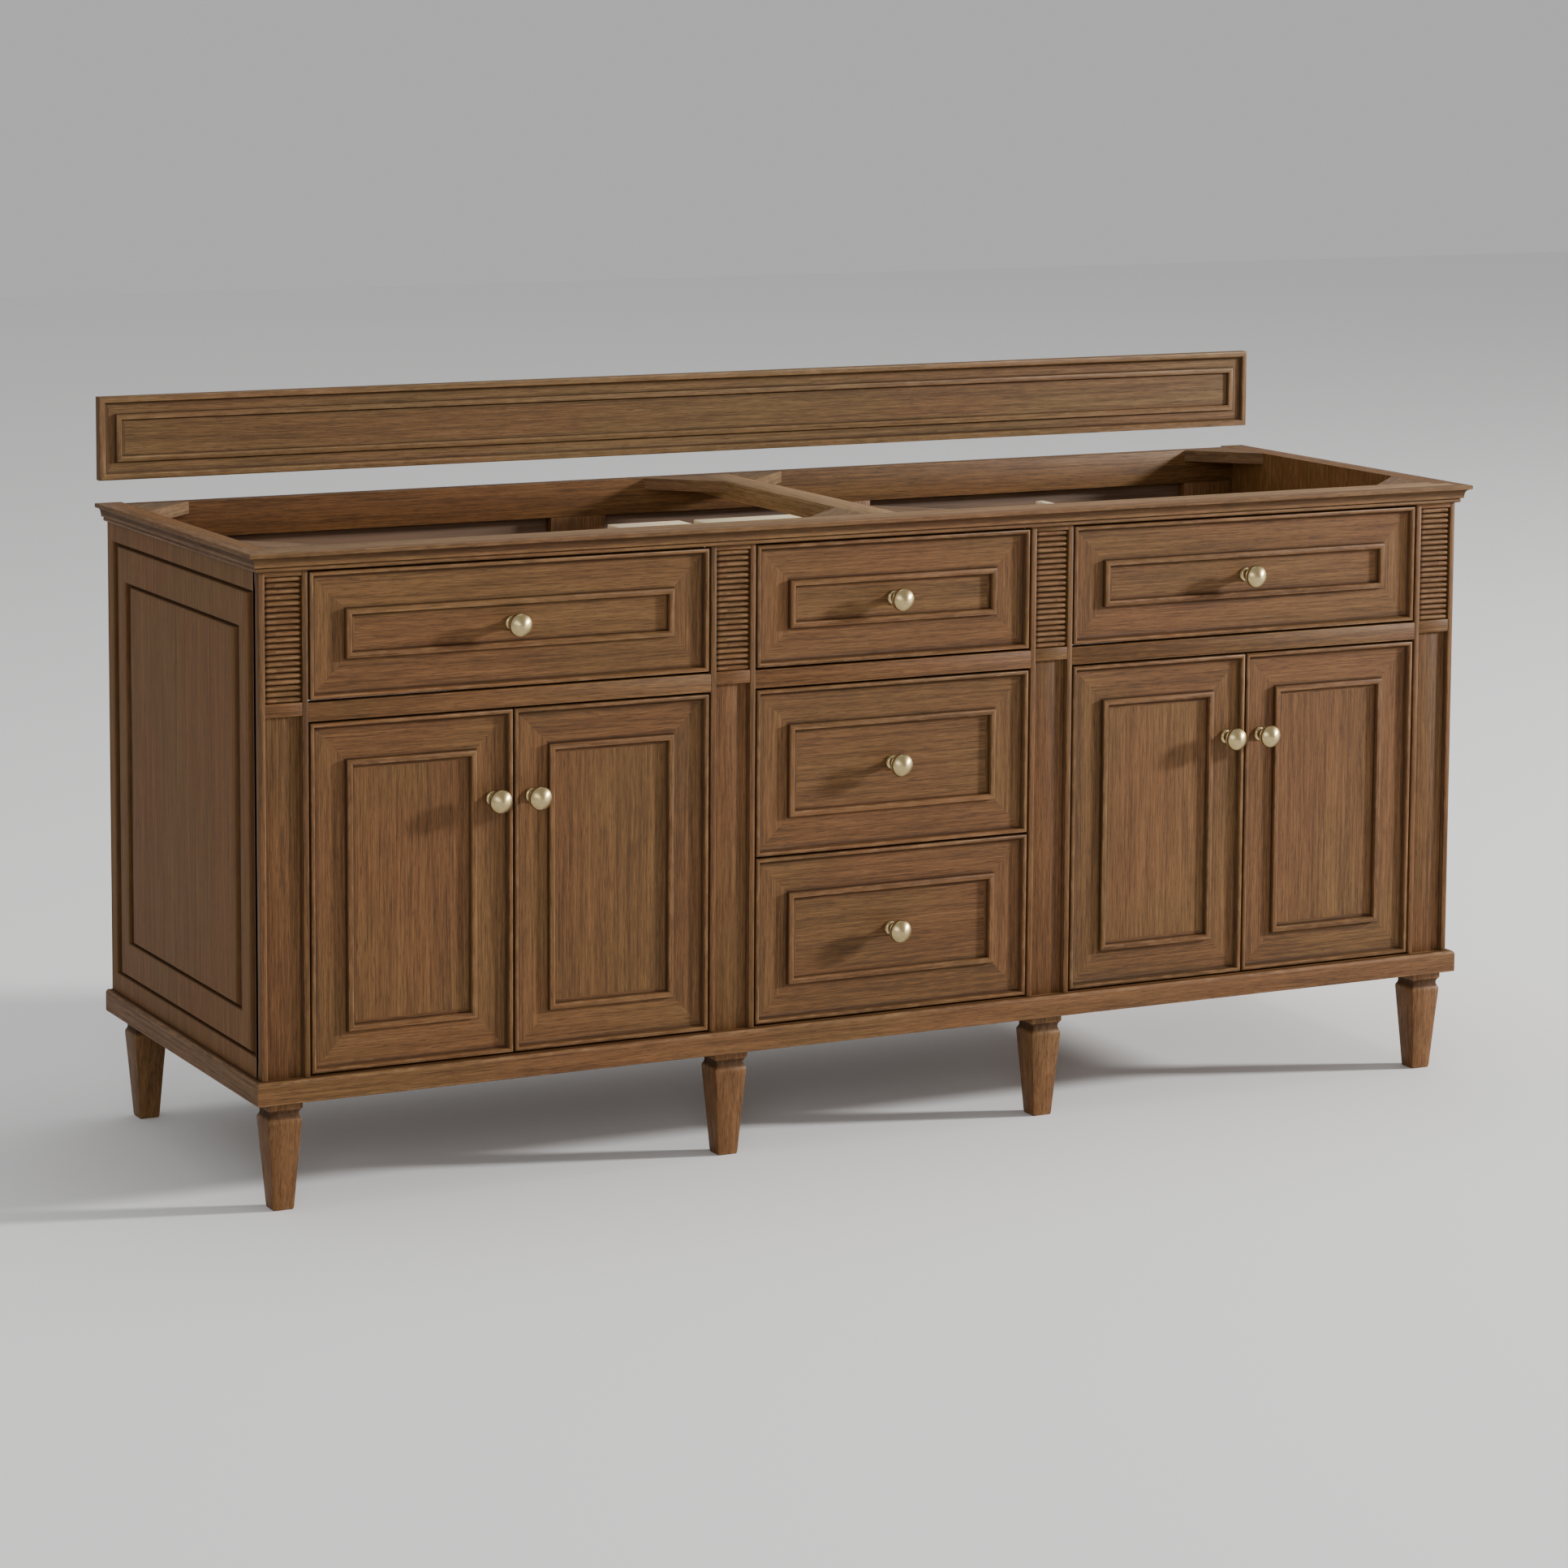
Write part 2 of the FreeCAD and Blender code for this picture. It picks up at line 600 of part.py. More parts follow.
def drawer(name, middle_x, bay_wide, low_z, tall, notched=False):
    """A drawer's front, knob, box and moving runners. `low_z` and `tall` are the front's."""
    wide = f"({bay_wide} - 2 * dims.gap_wide)"
    front = relief_front(f"({middle_x}) - {wide} / 2", low_z, wide, tall)
    keep(front, f"drawer_{name}_front")
    knob(middle_x, f"{low_z} + {tall} / 2", f"drawer_{name}_knob")
    box_wide = f"({bay_wide} - 4 * dims.runner_thick - 2 * dims.runner_gap)"
    low = (f"(({middle_x}) - {box_wide} / 2)", BEHIND, f"({low_z} + dims.box_clear)")
    size = (box_wide, "dims.box_long", f"({tall} - dims.box_clear - dims.box_drop)")
    walls = notched_box(low, size) if notched else plain_box(low, size)
    keep(together(walls), f"drawer_{name}_box")
    keep(together(runner_pair(middle_x, bay_wide, low_z, "moving")), f"drawer_{name}_runners")


TOP_LOW = f"({RAIL_TOP} + dims.gap_wide)"
TOP_TALL = f"({UNDER} - {RAIL_TOP} - 2 * dims.gap_wide)"
BELOW_TALL = f"(dims.rail_low - {BAND_TOP} - 2 * dims.gap_wide)"
HALF_TALL = f"(({BELOW_TALL} - dims.gap_wide) / 2)"
FLOOR_LOW = f"({BAND_TOP} + dims.gap_wide)"
MIDDLE_LOW = f"({FLOOR_LOW} + {HALF_TALL} + dims.gap_wide)"
DRAWERS = [
    ("left", f"-{BAY_MIDDLE}", "dims.bay_wide", TOP_LOW, TOP_TALL, True),
    ("right", BAY_MIDDLE, "dims.bay_wide", TOP_LOW, TOP_TALL, True),
    ("top", "0", "dims.centre_wide", TOP_LOW, TOP_TALL, False),
    ("middle", "0", "dims.centre_wide", MIDDLE_LOW, HALF_TALL, False),
    ("bottom", "0", "dims.centre_wide", FLOOR_LOW, HALF_TALL, False),
]


def drawers():
    fixed = []
    for name, middle_x, bay_wide, low_z, tall, notched in DRAWERS:
        drawer(name, middle_x, bay_wide, low_z, tall, notched)
        fixed += runner_pair(middle_x, bay_wide, low_z, "fixed")
    keep(together(fixed), "fixed_runners")


def packing():
    """Bars that carry the fixed runners, and pale boards behind the front top rail."""
    long = "dims.box_long"
    bars = []
    for side in SIDES.values():
        outer_wide = f"({INNER} - {BAY_OUT})"
        bars.append(box((mirrored(side, BAY_OUT, outer_wide), BEHIND, runner_z(TOP_LOW)),
                        (outer_wide, long, "dims.runner_tall")))
        inner_wide = f"({PARTITION_IN} - dims.centre_wide / 2)"
        for low_z in (TOP_LOW, MIDDLE_LOW, FLOOR_LOW):
            bars.append(box((mirrored(side, "dims.centre_wide / 2", inner_wide), BEHIND, runner_z(low_z)),
                            (inner_wide, long, "dims.runner_tall")))
    keep(together(bars), "runner_packing")
    kicker_z = "dims.height - dims.kicker_down - dims.kicker_thick"
    kicker_deep = ("dims.kicker_deep", "dims.kicker_thick")
    right_start = f"-{BAY_IN} + dims.kicker_break"
    right_end = "-(dims.divider_wide / 2 + dims.gusset_leg + dims.kicker_end)"
    post_tall = "dims.height - dims.post_down - dims.partition_top"
    keep(together([
        box((f"-{BAY_IN} - dims.kicker_out", TOP_RAIL_BACK, kicker_z), ("dims.kicker_out", *kicker_deep)),
        box((right_start, TOP_RAIL_BACK, kicker_z), (f"{right_end} - ({right_start})", *kicker_deep)),
        box((f"{BAY_IN} - dims.post_wide", TOP_RAIL_BACK, "dims.partition_top"),
            ("dims.post_wide", "dims.post_deep", post_tall)),
    ]), "pale_kickers")


def door(number, side, hinge):
    """A door hung at its outer (+1) or inner (-1) edge, on the left or right side."""
    wide = "((dims.bay_wide - 3 * dims.gap_wide) / 2)"
    outer_low = f"({BAY_OUT} - dims.gap_wide - {wide})"
    inner_low = f"({BAY_IN} + dims.gap_wide)"
    near = outer_low if hinge > 0 else inner_low
    low_x = mirrored(side, near, wide)
    keep(relief_front(f"({low_x})", FLOOR_LOW, wide, BELOW_TALL), f"door_{number}_front")
    meeting = f"({near} + dims.knob_edge)" if hinge > 0 else f"({near} + {wide} - dims.knob_edge)"
    knob(f"{side} * {meeting}", f"{FLOOR_LOW} + {BELOW_TALL} - dims.knob_drop", f"door_{number}_knob")
    cup_x = f"({near} + {wide} - dims.cup_edge)" if hinge > 0 else f"({near} + dims.cup_edge)"
    if hinge > 0:
        plate_near, plate_y = f"({BAY_OUT} + dims.gap_wide)", BEHIND
        plate_size = ("dims.plate_wide", "dims.plate_thick")
    else:
        plate_near, plate_y = BAY_IN, f"{BEHIND} + dims.cup_deep + dims.gap_wide"
        plate_size = ("dims.plate_thick", "dims.plate_wide")
    cups = []
    plates = []
    for z in (f"({FLOOR_LOW} + dims.hinge_inset)", f"({FLOOR_LOW} + {BELOW_TALL} - dims.hinge_inset)"):
        cup = doc.addObject("Part::Cylinder", "cup")
        cup.Placement = upright((1, 0, 0), (0, 0, -1), (0, 1, 0))
        cups.append(bind(cup, {
            "Radius": "dims.cup_radius",
            "Height": "dims.cup_deep",
            "Placement.Base.x": f"{side} * {cup_x}",
            "Placement.Base.y": f"{FACE} + dims.front_thick",
            "Placement.Base.z": z,
        }))
        plate_low = (mirrored(side, plate_near, plate_size[0]), plate_y, f"{z} - dims.plate_tall / 2")
        plates.append(box(plate_low, (*plate_size, "dims.plate_tall")))
    keep(together(cups), f"door_{number}_hinges")
    return plates


def doors():
    plates = []
    for number, (side, hinge) in enumerate(((-1, 1), (-1, -1), (1, -1), (1, 1)), start=1):
        plates += door(number, side, hinge)
    keep(together(plates), "hinge_plates")


carcass()
moulding("crown", CROWN, UNDER)
moulding("base_band", BAND, "dims.leg_tall")
top_frame()
pilasters()
rails()
feet()
backsplash()
drawers()
packing()
doors()
doc.recompute()

os.makedirs("parts", exist_ok=True)
for item in doc.Objects:
    faults = [state for state in item.State if state in ("Invalid", "Error")]
    if faults:
        raise RuntimeError(f"{item.Name} ({item.Label}) is {faults}")
for node in nodes:
    shape = node.Shape
    if shape.isNull() or not shape.isValid() or not shape.Solids:
        raise RuntimeError(f"{node.Label} has no valid solid")
    shape.exportStep(f"parts/{node.Label}.step")
print(len(nodes), "sub-parts")
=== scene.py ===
"""Double bathroom vanity cabinet in satin walnut: joinery, mouldings, knobs and runners."""

import math
import random

import bmesh
import bpy
from mathutils import Euler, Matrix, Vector


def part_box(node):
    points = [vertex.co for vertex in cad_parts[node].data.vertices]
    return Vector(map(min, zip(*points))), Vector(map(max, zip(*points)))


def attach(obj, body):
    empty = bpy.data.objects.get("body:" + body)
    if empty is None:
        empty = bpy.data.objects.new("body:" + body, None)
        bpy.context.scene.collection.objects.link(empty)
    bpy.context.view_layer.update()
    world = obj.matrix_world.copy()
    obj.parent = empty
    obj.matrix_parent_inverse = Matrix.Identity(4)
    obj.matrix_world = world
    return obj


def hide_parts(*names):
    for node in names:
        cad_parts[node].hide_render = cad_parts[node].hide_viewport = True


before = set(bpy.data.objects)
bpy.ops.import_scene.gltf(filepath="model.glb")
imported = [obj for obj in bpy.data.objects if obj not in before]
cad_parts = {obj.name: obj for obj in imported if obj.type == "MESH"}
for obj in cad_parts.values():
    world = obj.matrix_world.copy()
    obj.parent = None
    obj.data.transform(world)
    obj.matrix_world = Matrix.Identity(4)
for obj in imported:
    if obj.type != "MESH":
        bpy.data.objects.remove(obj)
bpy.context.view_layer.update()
MM = 0.001


# ---- Camera and light ----

def place_camera():
    """A long lens from the front left, a little above the top."""
    camera = bpy.data.cameras.new("camera")
    camera.sensor_width = 36
    camera.lens = 103.94
    camera.shift_x = 0.040
    camera.shift_y = -0.20
    camera.clip_end = 60
    holder = bpy.data.objects.new("camera", camera)
    yaw, pitch, roll = (math.radians(a) for a in (26.374, -6.355, 0.2305))
    aimed = Euler((math.pi / 2 + pitch, 0, -yaw), "XYZ").to_matrix()
    rolled = Euler((0, 0, roll), "XYZ").to_matrix()
    holder.matrix_world = (aimed @ rolled).to_4x4()
    holder.location = (-2.8497, -5.4987, 1.5617)
    bpy.context.collection.objects.link(holder)
    bpy.context.scene.camera = holder


def soft_lamp(name, place, target, size, power, colour=(1, 1, 1)):
    lamp = bpy.data.lights.new(name, "AREA")
    lamp.shape = "DISK"
    lamp.size = size
    lamp.energy = power
    lamp.color = colour
    holder = bpy.data.objects.new(name, lamp)
    holder.location = place
    holder.rotation_euler = (Vector(target) - Vector(place)).to_track_quat("-Z", "Y").to_euler()
    bpy.context.collection.objects.link(holder)


def light_studio():
    middle = (0, 0, 0.5)
    soft_lamp("key_from_the_right", (9.2, -3.4, 3.1), middle, 1.0, 1720, (1, 0.985, 0.96))
    soft_lamp("fill_from_the_front", (-3.5, -6.5, 2.6), middle, 3.2, 100)
    soft_lamp("top_light", (0.4, 0.6, 4.6), middle, 3.0, 60)
    world = bpy.data.worlds.new("pale_room")
    world.use_nodes = True
    sky = world.node_tree.nodes["Background"]
    sky.inputs["Color"].default_value = (1, 1, 1, 1)
    sky.inputs["Strength"].default_value = 0.50
    bpy.context.scene.world = world


def lay_floor():
    floor_size = 30
    bpy.ops.mesh.primitive_plane_add(size=floor_size)
    floor = bpy.context.object
    floor.name = "floor"
    pale = bpy.data.materials.new("pale_floor")
    pale.use_nodes = True
    paint = pale.node_tree.nodes["Principled BSDF"]
    paint.inputs["Base Color"].default_value = (0.88, 0.88, 0.88, 1)
    paint.inputs["Roughness"].default_value = 0.9
    floor.data.materials.append(pale)


place_camera()
light_studio()
lay_floor()


# ---- Sizes, read from the frame ----

def low(node):
    return Vector(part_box(node)[0])


def high(node):
    return Vector(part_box(node)[1])


FACE = low("bottom_rail").y
BACK = high("side_panel_left").y
HALF = high("bottom_rail").x
TOP = high("crown_front").z
X, Y, Z = Vector((1, 0, 0)), Vector((0, 1, 0)), Vector((0, 0, 1))


# ---- Finishes ----

class Recipe:
    """A material's node tree, with short ways to add and join nodes."""

    def __init__(self, name):
        self.material = bpy.data.materials.new(name)
        self.material.use_nodes = True
        self.tree = self.material.node_tree
        self.shader = self.tree.nodes["Principled BSDF"]

    def add(self, kind, inputs=None, **settings):
        node = self.tree.nodes.new(f"ShaderNode{kind}")
        for key, value in settings.items():
            setattr(node, key, value)
        for key, value in (inputs or {}).items():
            self.feed(node.inputs[key], value)
        return node

    def feed(self, socket, value):
        if isinstance(value, bpy.types.NodeSocket):
            self.tree.links.new(value, socket)
        else:
            socket.default_value = value

    def attribute(self, name):
        return self.add("Attribute", attribute_name=name).outputs["Vector"]

    def parts(self, vector):
        return self.add("SeparateXYZ", {0: vector}).outputs

    def math(self, operation, a, b=0.0, clamp=False):
        return self.add("Math", {0: a, 1: b}, operation=operation, use_clamp=clamp).outputs[0]

    def stretched(self, vector, scale):
        return self.add("VectorMath", {0: vector, 1: scale}, operation="MULTIPLY").outputs[0]

    def noise(self, vector, detail=4.0, roughness=0.55, distortion=0.0, scale=1.0):
        return self.add("TexNoise", {
            "Vector": vector, "Scale": scale, "Detail": detail,
            "Roughness": roughness, "Distortion": distortion,
        }).outputs["Fac"]

    def span(self, value, start, end, to_start=0.0, to_end=1.0):
        """value's range start-end, spread smoothly over to_start-to_end."""
        return self.add("MapRange", {
            "Value": value, "From Min": start, "From Max": end, "To Min": to_start, "To Max": to_end,
        }, interpolation_type="SMOOTHSTEP").outputs[0]

    def blend(self, share, first, second, how="MIX"):
        node = self.add("Mix", data_type="RGBA", blend_type=how)
        self.feed(node.inputs[0], share)
        self.feed(node.inputs[6], first)
        self.feed(node.inputs[7], second)
        return node.outputs[2]

    def bump(self, height, strength, distance):
        normal = self.add("Bump", {"Height": height, "Strength": strength, "Distance": distance})
        self.feed(self.shader.inputs["Normal"], normal.outputs[0])

    def surface(self, **values):
        for key, value in values.items():
            self.feed(self.shader.inputs[key.replace("_", " ")], value)
        return self.material


def tint(red, green, blue):
    return (red, green, blue, 1)


def deeper(colour, share):
    """The same hue, darker."""
    return tint(*(c * share for c in colour[:3]))


def stained_walnut(name, dark, mid, light, glaze_and_shade_tint, wear_and_highlight_tint, gloss):
    """Straight-grained satin walnut: stain, dark glaze with painted shade in the hollows, and edges
    lightened by wear and painted highlights.

    It reads each board's own grain direction, and how far each spot is lightened and how far darkened by
    these marks, from the mesh.
    """
    wood = Recipe(name)
    grain = wood.attribute("grain")
    rubbed_and_highlit, glazed_and_shaded, tone = wood.parts(wood.attribute("finish_and_painted_light"))
    figure = wood.noise(wood.stretched(grain, (1.6, 48, 48)), 4, 0.55, 0.5)
    lines = wood.noise(wood.stretched(grain, (7, 300, 300)), 5, 0.70, 0.25)
    fibres = wood.noise(wood.stretched(grain, (34, 900, 900)), 3, 0.65)
    clouds = wood.noise(wood.stretched(grain, (3.0, 6, 6)), 2, 0.5)
    streaks = wood.math("ADD", wood.math("MULTIPLY", figure, 0.20), wood.math("MULTIPLY", lines, 0.44))
    streaks = wood.math("ADD", streaks, wood.math("MULTIPLY", fibres, 0.36))
    streaks = wood.math("ADD", streaks, wood.math("MULTIPLY", tone, 0.018))
    colour = wood.blend(wood.span(streaks, 0.41, 0.52), dark, mid)
    colour = wood.blend(wood.span(streaks, 0.50, 0.61), colour, light)
    warm = wood.blend(wood.span(clouds, 0.38, 0.64), tint(1.06, 0.95, 0.92), tint(0.97, 1.03, 0.92))
    colour = wood.blend(0.65, colour, warm, "MULTIPLY")
    pores = wood.span(wood.noise(wood.stretched(grain, (55, 1300, 1300)), 2, 0.5), 0.58, 0.67)
    colour = wood.blend(wood.math("MULTIPLY", pores, 0.65), colour, deeper(dark, 0.55))
    patches = wood.noise(wood.stretched(grain, (40, 160, 160)), 3, 0.6)
    # Glaze and painted shade: hollows, creases and recesses are darkened.
    in_hollow = wood.math("MULTIPLY", glazed_and_shaded, wood.span(patches, 0.15, 0.60, 0.70, 1.0), clamp=True)
    colour = wood.blend(in_hollow, colour, glaze_and_shade_tint)
    # Wear and painted highlights: edges and crests are lightened.
    worn = wood.math("MULTIPLY", rubbed_and_highlit, wood.span(patches, 0.42, 0.70, 0.12, 0.85), clamp=True)
    colour = wood.blend(worn, colour, wear_and_highlight_tint)
    relief = wood.math("ADD", wood.math("MULTIPLY", fibres, 0.5), wood.math("MULTIPLY", lines, 0.5))
    relief = wood.math("SUBTRACT", relief, wood.math("MULTIPLY", pores, 0.35))
    wood.bump(relief, 0.35, 0.0004)
    sheen = wood.span(lines, 0.3, 0.7, gloss + 0.07, gloss - 0.03)
    sheen = wood.math("ADD", sheen, wood.math("MULTIPLY", in_hollow, 0.4), clamp=True)
    return wood.surface(Base_Color=colour, Roughness=sheen, Specular_IOR_Level=0.20)


WALNUT = stained_walnut(
    "satin_walnut", tint(0.066, 0.029, 0.009), tint(0.122, 0.056, 0.0185), tint(0.172, 0.084, 0.031),
    tint(0.024, 0.010, 0.004), tint(0.250, 0.140, 0.064), 0.52,
)
SIDE_VENEER = stained_walnut(
    "side_veneer", tint(0.104, 0.046, 0.0125), tint(0.138, 0.061, 0.0160), tint(0.170, 0.079, 0.0225),
    tint(0.046, 0.020, 0.007), tint(0.220, 0.120, 0.050), 0.58,
)
SPLASH_WALNUT = stained_walnut(
    "backsplash_walnut", tint(0.086, 0.046, 0.0200), tint(0.146, 0.080, 0.0330), tint(0.200, 0.114, 0.0520),
    tint(0.030, 0.014, 0.006), tint(0.270, 0.165, 0.080), 0.54,
)
BLOCK_WALNUT = stained_walnut(
    "gusset_walnut", tint(0.070, 0.036, 0.016), tint(0.120, 0.066, 0.030), tint(0.165, 0.098, 0.047),
    tint(0.030, 0.014, 0.006), tint(0.210, 0.130, 0.065), 0.60,
)
# Lighter walnut for the upward-facing top boards: painted light from above.
WALNUT_LIT_FROM_ABOVE = stained_walnut(
    "walnut_painted_top_light", tint(0.140, 0.080, 0.036), tint(0.225, 0.135, 0.066), tint(0.280, 0.178, 0.092),
    tint(0.040, 0.020, 0.010), tint(0.260, 0.160, 0.085), 0.62,
)
PALE = stained_walnut(
    "pale_inner_wood", tint(0.58, 0.43, 0.27), tint(0.72, 0.58, 0.40), tint(0.80, 0.69, 0.52),
    tint(0.36, 0.24, 0.14), tint(0.82, 0.72, 0.56), 0.55,
)


def carcass_ply():
    """Stained boards inside the cabinet, with the grain along X."""
    ply = Recipe("stained_inner_boards")
    place = ply.add("TexCoord").outputs["Object"]
    lines = ply.noise(ply.stretched(place, (5, 240, 240)), 5, 0.6, 0.3)
    figure = ply.noise(ply.stretched(place, (2, 30, 30)), 4, 0.6, 0.6)
    mix = ply.math("ADD", ply.math("MULTIPLY", lines, 0.5), ply.math("MULTIPLY", figure, 0.5))
    colour = ply.blend(ply.span(mix, 0.36, 0.64), tint(0.070, 0.036, 0.018), tint(0.150, 0.080, 0.042))
    ply.bump(lines, 0.25, 0.0003)
    return ply.surface(Base_Color=colour, Roughness=0.6)


def zinc_steel():
    """Rolled, zinc plated steel."""
    steel = Recipe("zinc_plated_steel")
    place = steel.add("TexCoord").outputs["Object"]
    rolled = steel.noise(steel.stretched(place, (300, 18, 300)), 3, 0.5)
    spangle = steel.noise(place, 2, 0.5, scale=90)
    colour = steel.blend(steel.span(spangle, 0.35, 0.65), tint(0.50, 0.51, 0.53), tint(0.64, 0.65, 0.66))
    steel.bump(rolled, 0.15, 0.0002)
    rough = steel.span(rolled, 0.3, 0.7, 0.28, 0.42)
    return steel.surface(Base_Color=colour, Metallic=1.0, Roughness=rough)


def champagne_metal():
    """Satin champagne plating on the knobs, with fine lathe rings round each knob's own axis."""
    metal = Recipe("satin_champagne_metal")
    turned = metal.attribute("turned")
    across, out, up = metal.parts(turned)
    flat = metal.add("CombineXYZ", {0: across, 1: up}).outputs[0]
    radius = metal.add("VectorMath", {0: flat}, operation="LENGTH").outputs["Value"]
    profile = metal.add("CombineXYZ", {0: radius, 1: out}).outputs[0]
    rings = metal.noise(profile, 4, 0.7, scale=2400)
    worn = metal.noise(turned, 3, 0.5, scale=70)
    colour = metal.blend(metal.span(worn, 0.35, 0.65), tint(0.40, 0.30, 0.14), tint(0.50, 0.39, 0.20))
    colour = metal.blend(metal.span(rings, 0.35, 0.65, 0.0, 0.25), colour, tint(0.60, 0.50, 0.29))
    # The groove behind the face, inside the rim, is darkened: painted shade.
    groove_near, groove_far, soft = 0.0238, 0.0251, 0.0005
    rim_in, rim_out = 0.0118, 0.0138
    past_near = metal.span(out, groove_near, groove_near + soft)
    before_far = metal.span(out, groove_far, groove_far - soft)
    groove_shade = metal.math("MULTIPLY", past_near, before_far)
    within_rim = metal.math("SUBTRACT", 1.0, metal.span(radius, rim_out, rim_out + 0.0004))
    near_rim = metal.math("MULTIPLY", metal.span(radius, rim_in, rim_in + soft), within_rim)
    colour = metal.blend(metal.math("MULTIPLY", groove_shade, near_rim), colour, tint(0.07, 0.045, 0.02))
    metal.bump(rings, 0.22, 0.00012)
    rough = metal.span(rings, 0.3, 0.7, 0.24, 0.38)
    return metal.surface(Base_Color=colour, Metallic=1.0, Roughness=rough)


PLY = carcass_ply()
PARTITION = stained_walnut(
    "stained_partitions", tint(0.055, 0.026, 0.011), tint(0.095, 0.047, 0.020), tint(0.130, 0.068, 0.030),
    tint(0.020, 0.009, 0.004), tint(0.160, 0.090, 0.042), 0.58,
)
STEEL = zinc_steel()
CHAMPAGNE = champagne_metal()


# ---- Joinery ----

class Board:
    """One piece of timber: the way its grain runs, and its own place in the log."""

    draw = random.Random(1829)

    def __init__(self, along, across=None, tone=None):
        self.along = Vector(along)
        self.across = Vector(across) if across else Vector((along[1], along[2], along[0]))
        self.through = self.along.cross(self.across)
        self.shift = Vector([self.draw.uniform(-4, 4) for _ in range(3)])
        self.tone = self.draw.uniform(-1, 1) if tone is None else tone

    def grain_at(self, point):
        return Vector((point.dot(self.along), point.dot(self.across), point.dot(self.through))) + self.shift


class Workpiece:
    """Closed boards and mouldings, gathered into one piece."""

    def __init__(self, name):
        self.name = name
        self.points = []
        self.marks = []
        self.faces = []
        self.boards = []

    def point(self, place, rubbed_and_highlit=0.0, glazed_and_shaded=0.0):
        self.points.append(Vector(place))
        self.marks.append((rubbed_and_highlit, glazed_and_shaded))
        return len(self.points) - 1

    def face(self, corners, board):
        self.faces.append(corners)
        self.boards.append(board)

    def board(self, lowest, highest, board, ease=0.9 * MM):
        """A plain board with eased edges."""
        lowest, highest = Vector(lowest), Vector(highest)
        mesh = bmesh.new()
        bmesh.ops.create_cube(mesh, size=1)
        for corner in mesh.verts:
            corner.co = Vector([a + (b - a) * (c + 0.5) for a, b, c in zip(lowest, highest, corner.co)])
        bmesh.ops.bevel(mesh, geom=mesh.edges[:], offset=ease, segments=2, profile=0.5, affect="EDGES")
        start = len(self.points)
        # Vertices on the eased edges are lightened: wear and painted highlight.
        for corner in mesh.verts:
            edges = [min(c - a, b - c) < 0.6 * ease for a, b, c in zip(lowest, highest, corner.co)]
            self.point(corner.co, rubbed_and_highlit=1.0 if sum(edges) > 1 else 0.0)
        mesh.verts.index_update()
        for side in mesh.faces:
            self.face([start + corner.index for corner in side.verts], board)
        mesh.free()

    def rings(self, rings, boards, cap_first=None, cap_last=None):
        """Skins a row of closed rings of points. boards holds one board for each side of a ring."""
        sides = len(rings[0])
        for near, far in zip(rings, rings[1:]):
            for i in range(sides):
                j = (i + 1) % sides
                self.face([near[i], near[j], far[j], far[i]], boards[i % len(boards)])
        if cap_first:
            self.face(list(reversed(rings[0])), cap_first)
        if cap_last:
            self.face(list(rings[-1]), cap_last)

    def finished(self, body, material, replaced=()):
        """The mesh, with its grain and its marks of finish and painted light, riding on its body."""
        mesh = bpy.data.meshes.new(self.name)
        mesh.from_pydata([tuple(p) for p in self.points], [], self.faces)
        grain = mesh.attributes.new("grain", "FLOAT_VECTOR", "CORNER")
        finish_and_painted_light = mesh.attributes.new("finish_and_painted_light", "FLOAT_VECTOR", "CORNER")
        for side, board in zip(mesh.polygons, self.boards):
            for loop in side.loop_indices:
                corner = mesh.loops[loop].vertex_index
                grain.data[loop].vector = board.grain_at(self.points[corner])
                finish_and_painted_light.data[loop].vector = (*self.marks[corner], board.tone)
        shape = bmesh.new()
        shape.from_mesh(mesh)
        bmesh.ops.recalc_face_normals(shape, faces=shape.faces[:])
        shape.to_mesh(mesh)
        shape.free()
        return settled(self.name, mesh, body, material, replaced)


def settled(name, mesh, body, material, replaced=()):
    """Smooth shading inside curves, creases at corners; then the piece joins its body."""
    for side in mesh.polygons:
        side.use_smooth = True
    mesh.set_sharp_from_angle(angle=math.radians(33))
    if not mesh.materials:
        mesh.materials.append(material)
    piece = bpy.data.objects.new(name, mesh)
    bpy.context.collection.objects.link(piece)
    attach(piece, body)
    if replaced:
        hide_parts(*replaced)
    return piece


def arc(centre, radius, start, end, steps):
    """Points of an arc, in degrees, as (across, up) pairs."""
    turns = [math.radians(start + (end - start) * i / steps) for i in range(steps + 1)]
    return [(centre[0] + radius * math.cos(a), centre[1] + radius * math.sin(a)) for a in turns]


# A front's section, from its back edge round to its middle, in mm:
# (inset, depth behind the face, rubbed and highlit, glazed and shaded).
# Edges are lightened by wear and painted highlight; the hollows by the lip and the bead are darkened by
# glaze and painted shade.
FRONT_THICK = 20
SUNK = 7
BEAD_IN = 49
BEAD_WIDE = 8


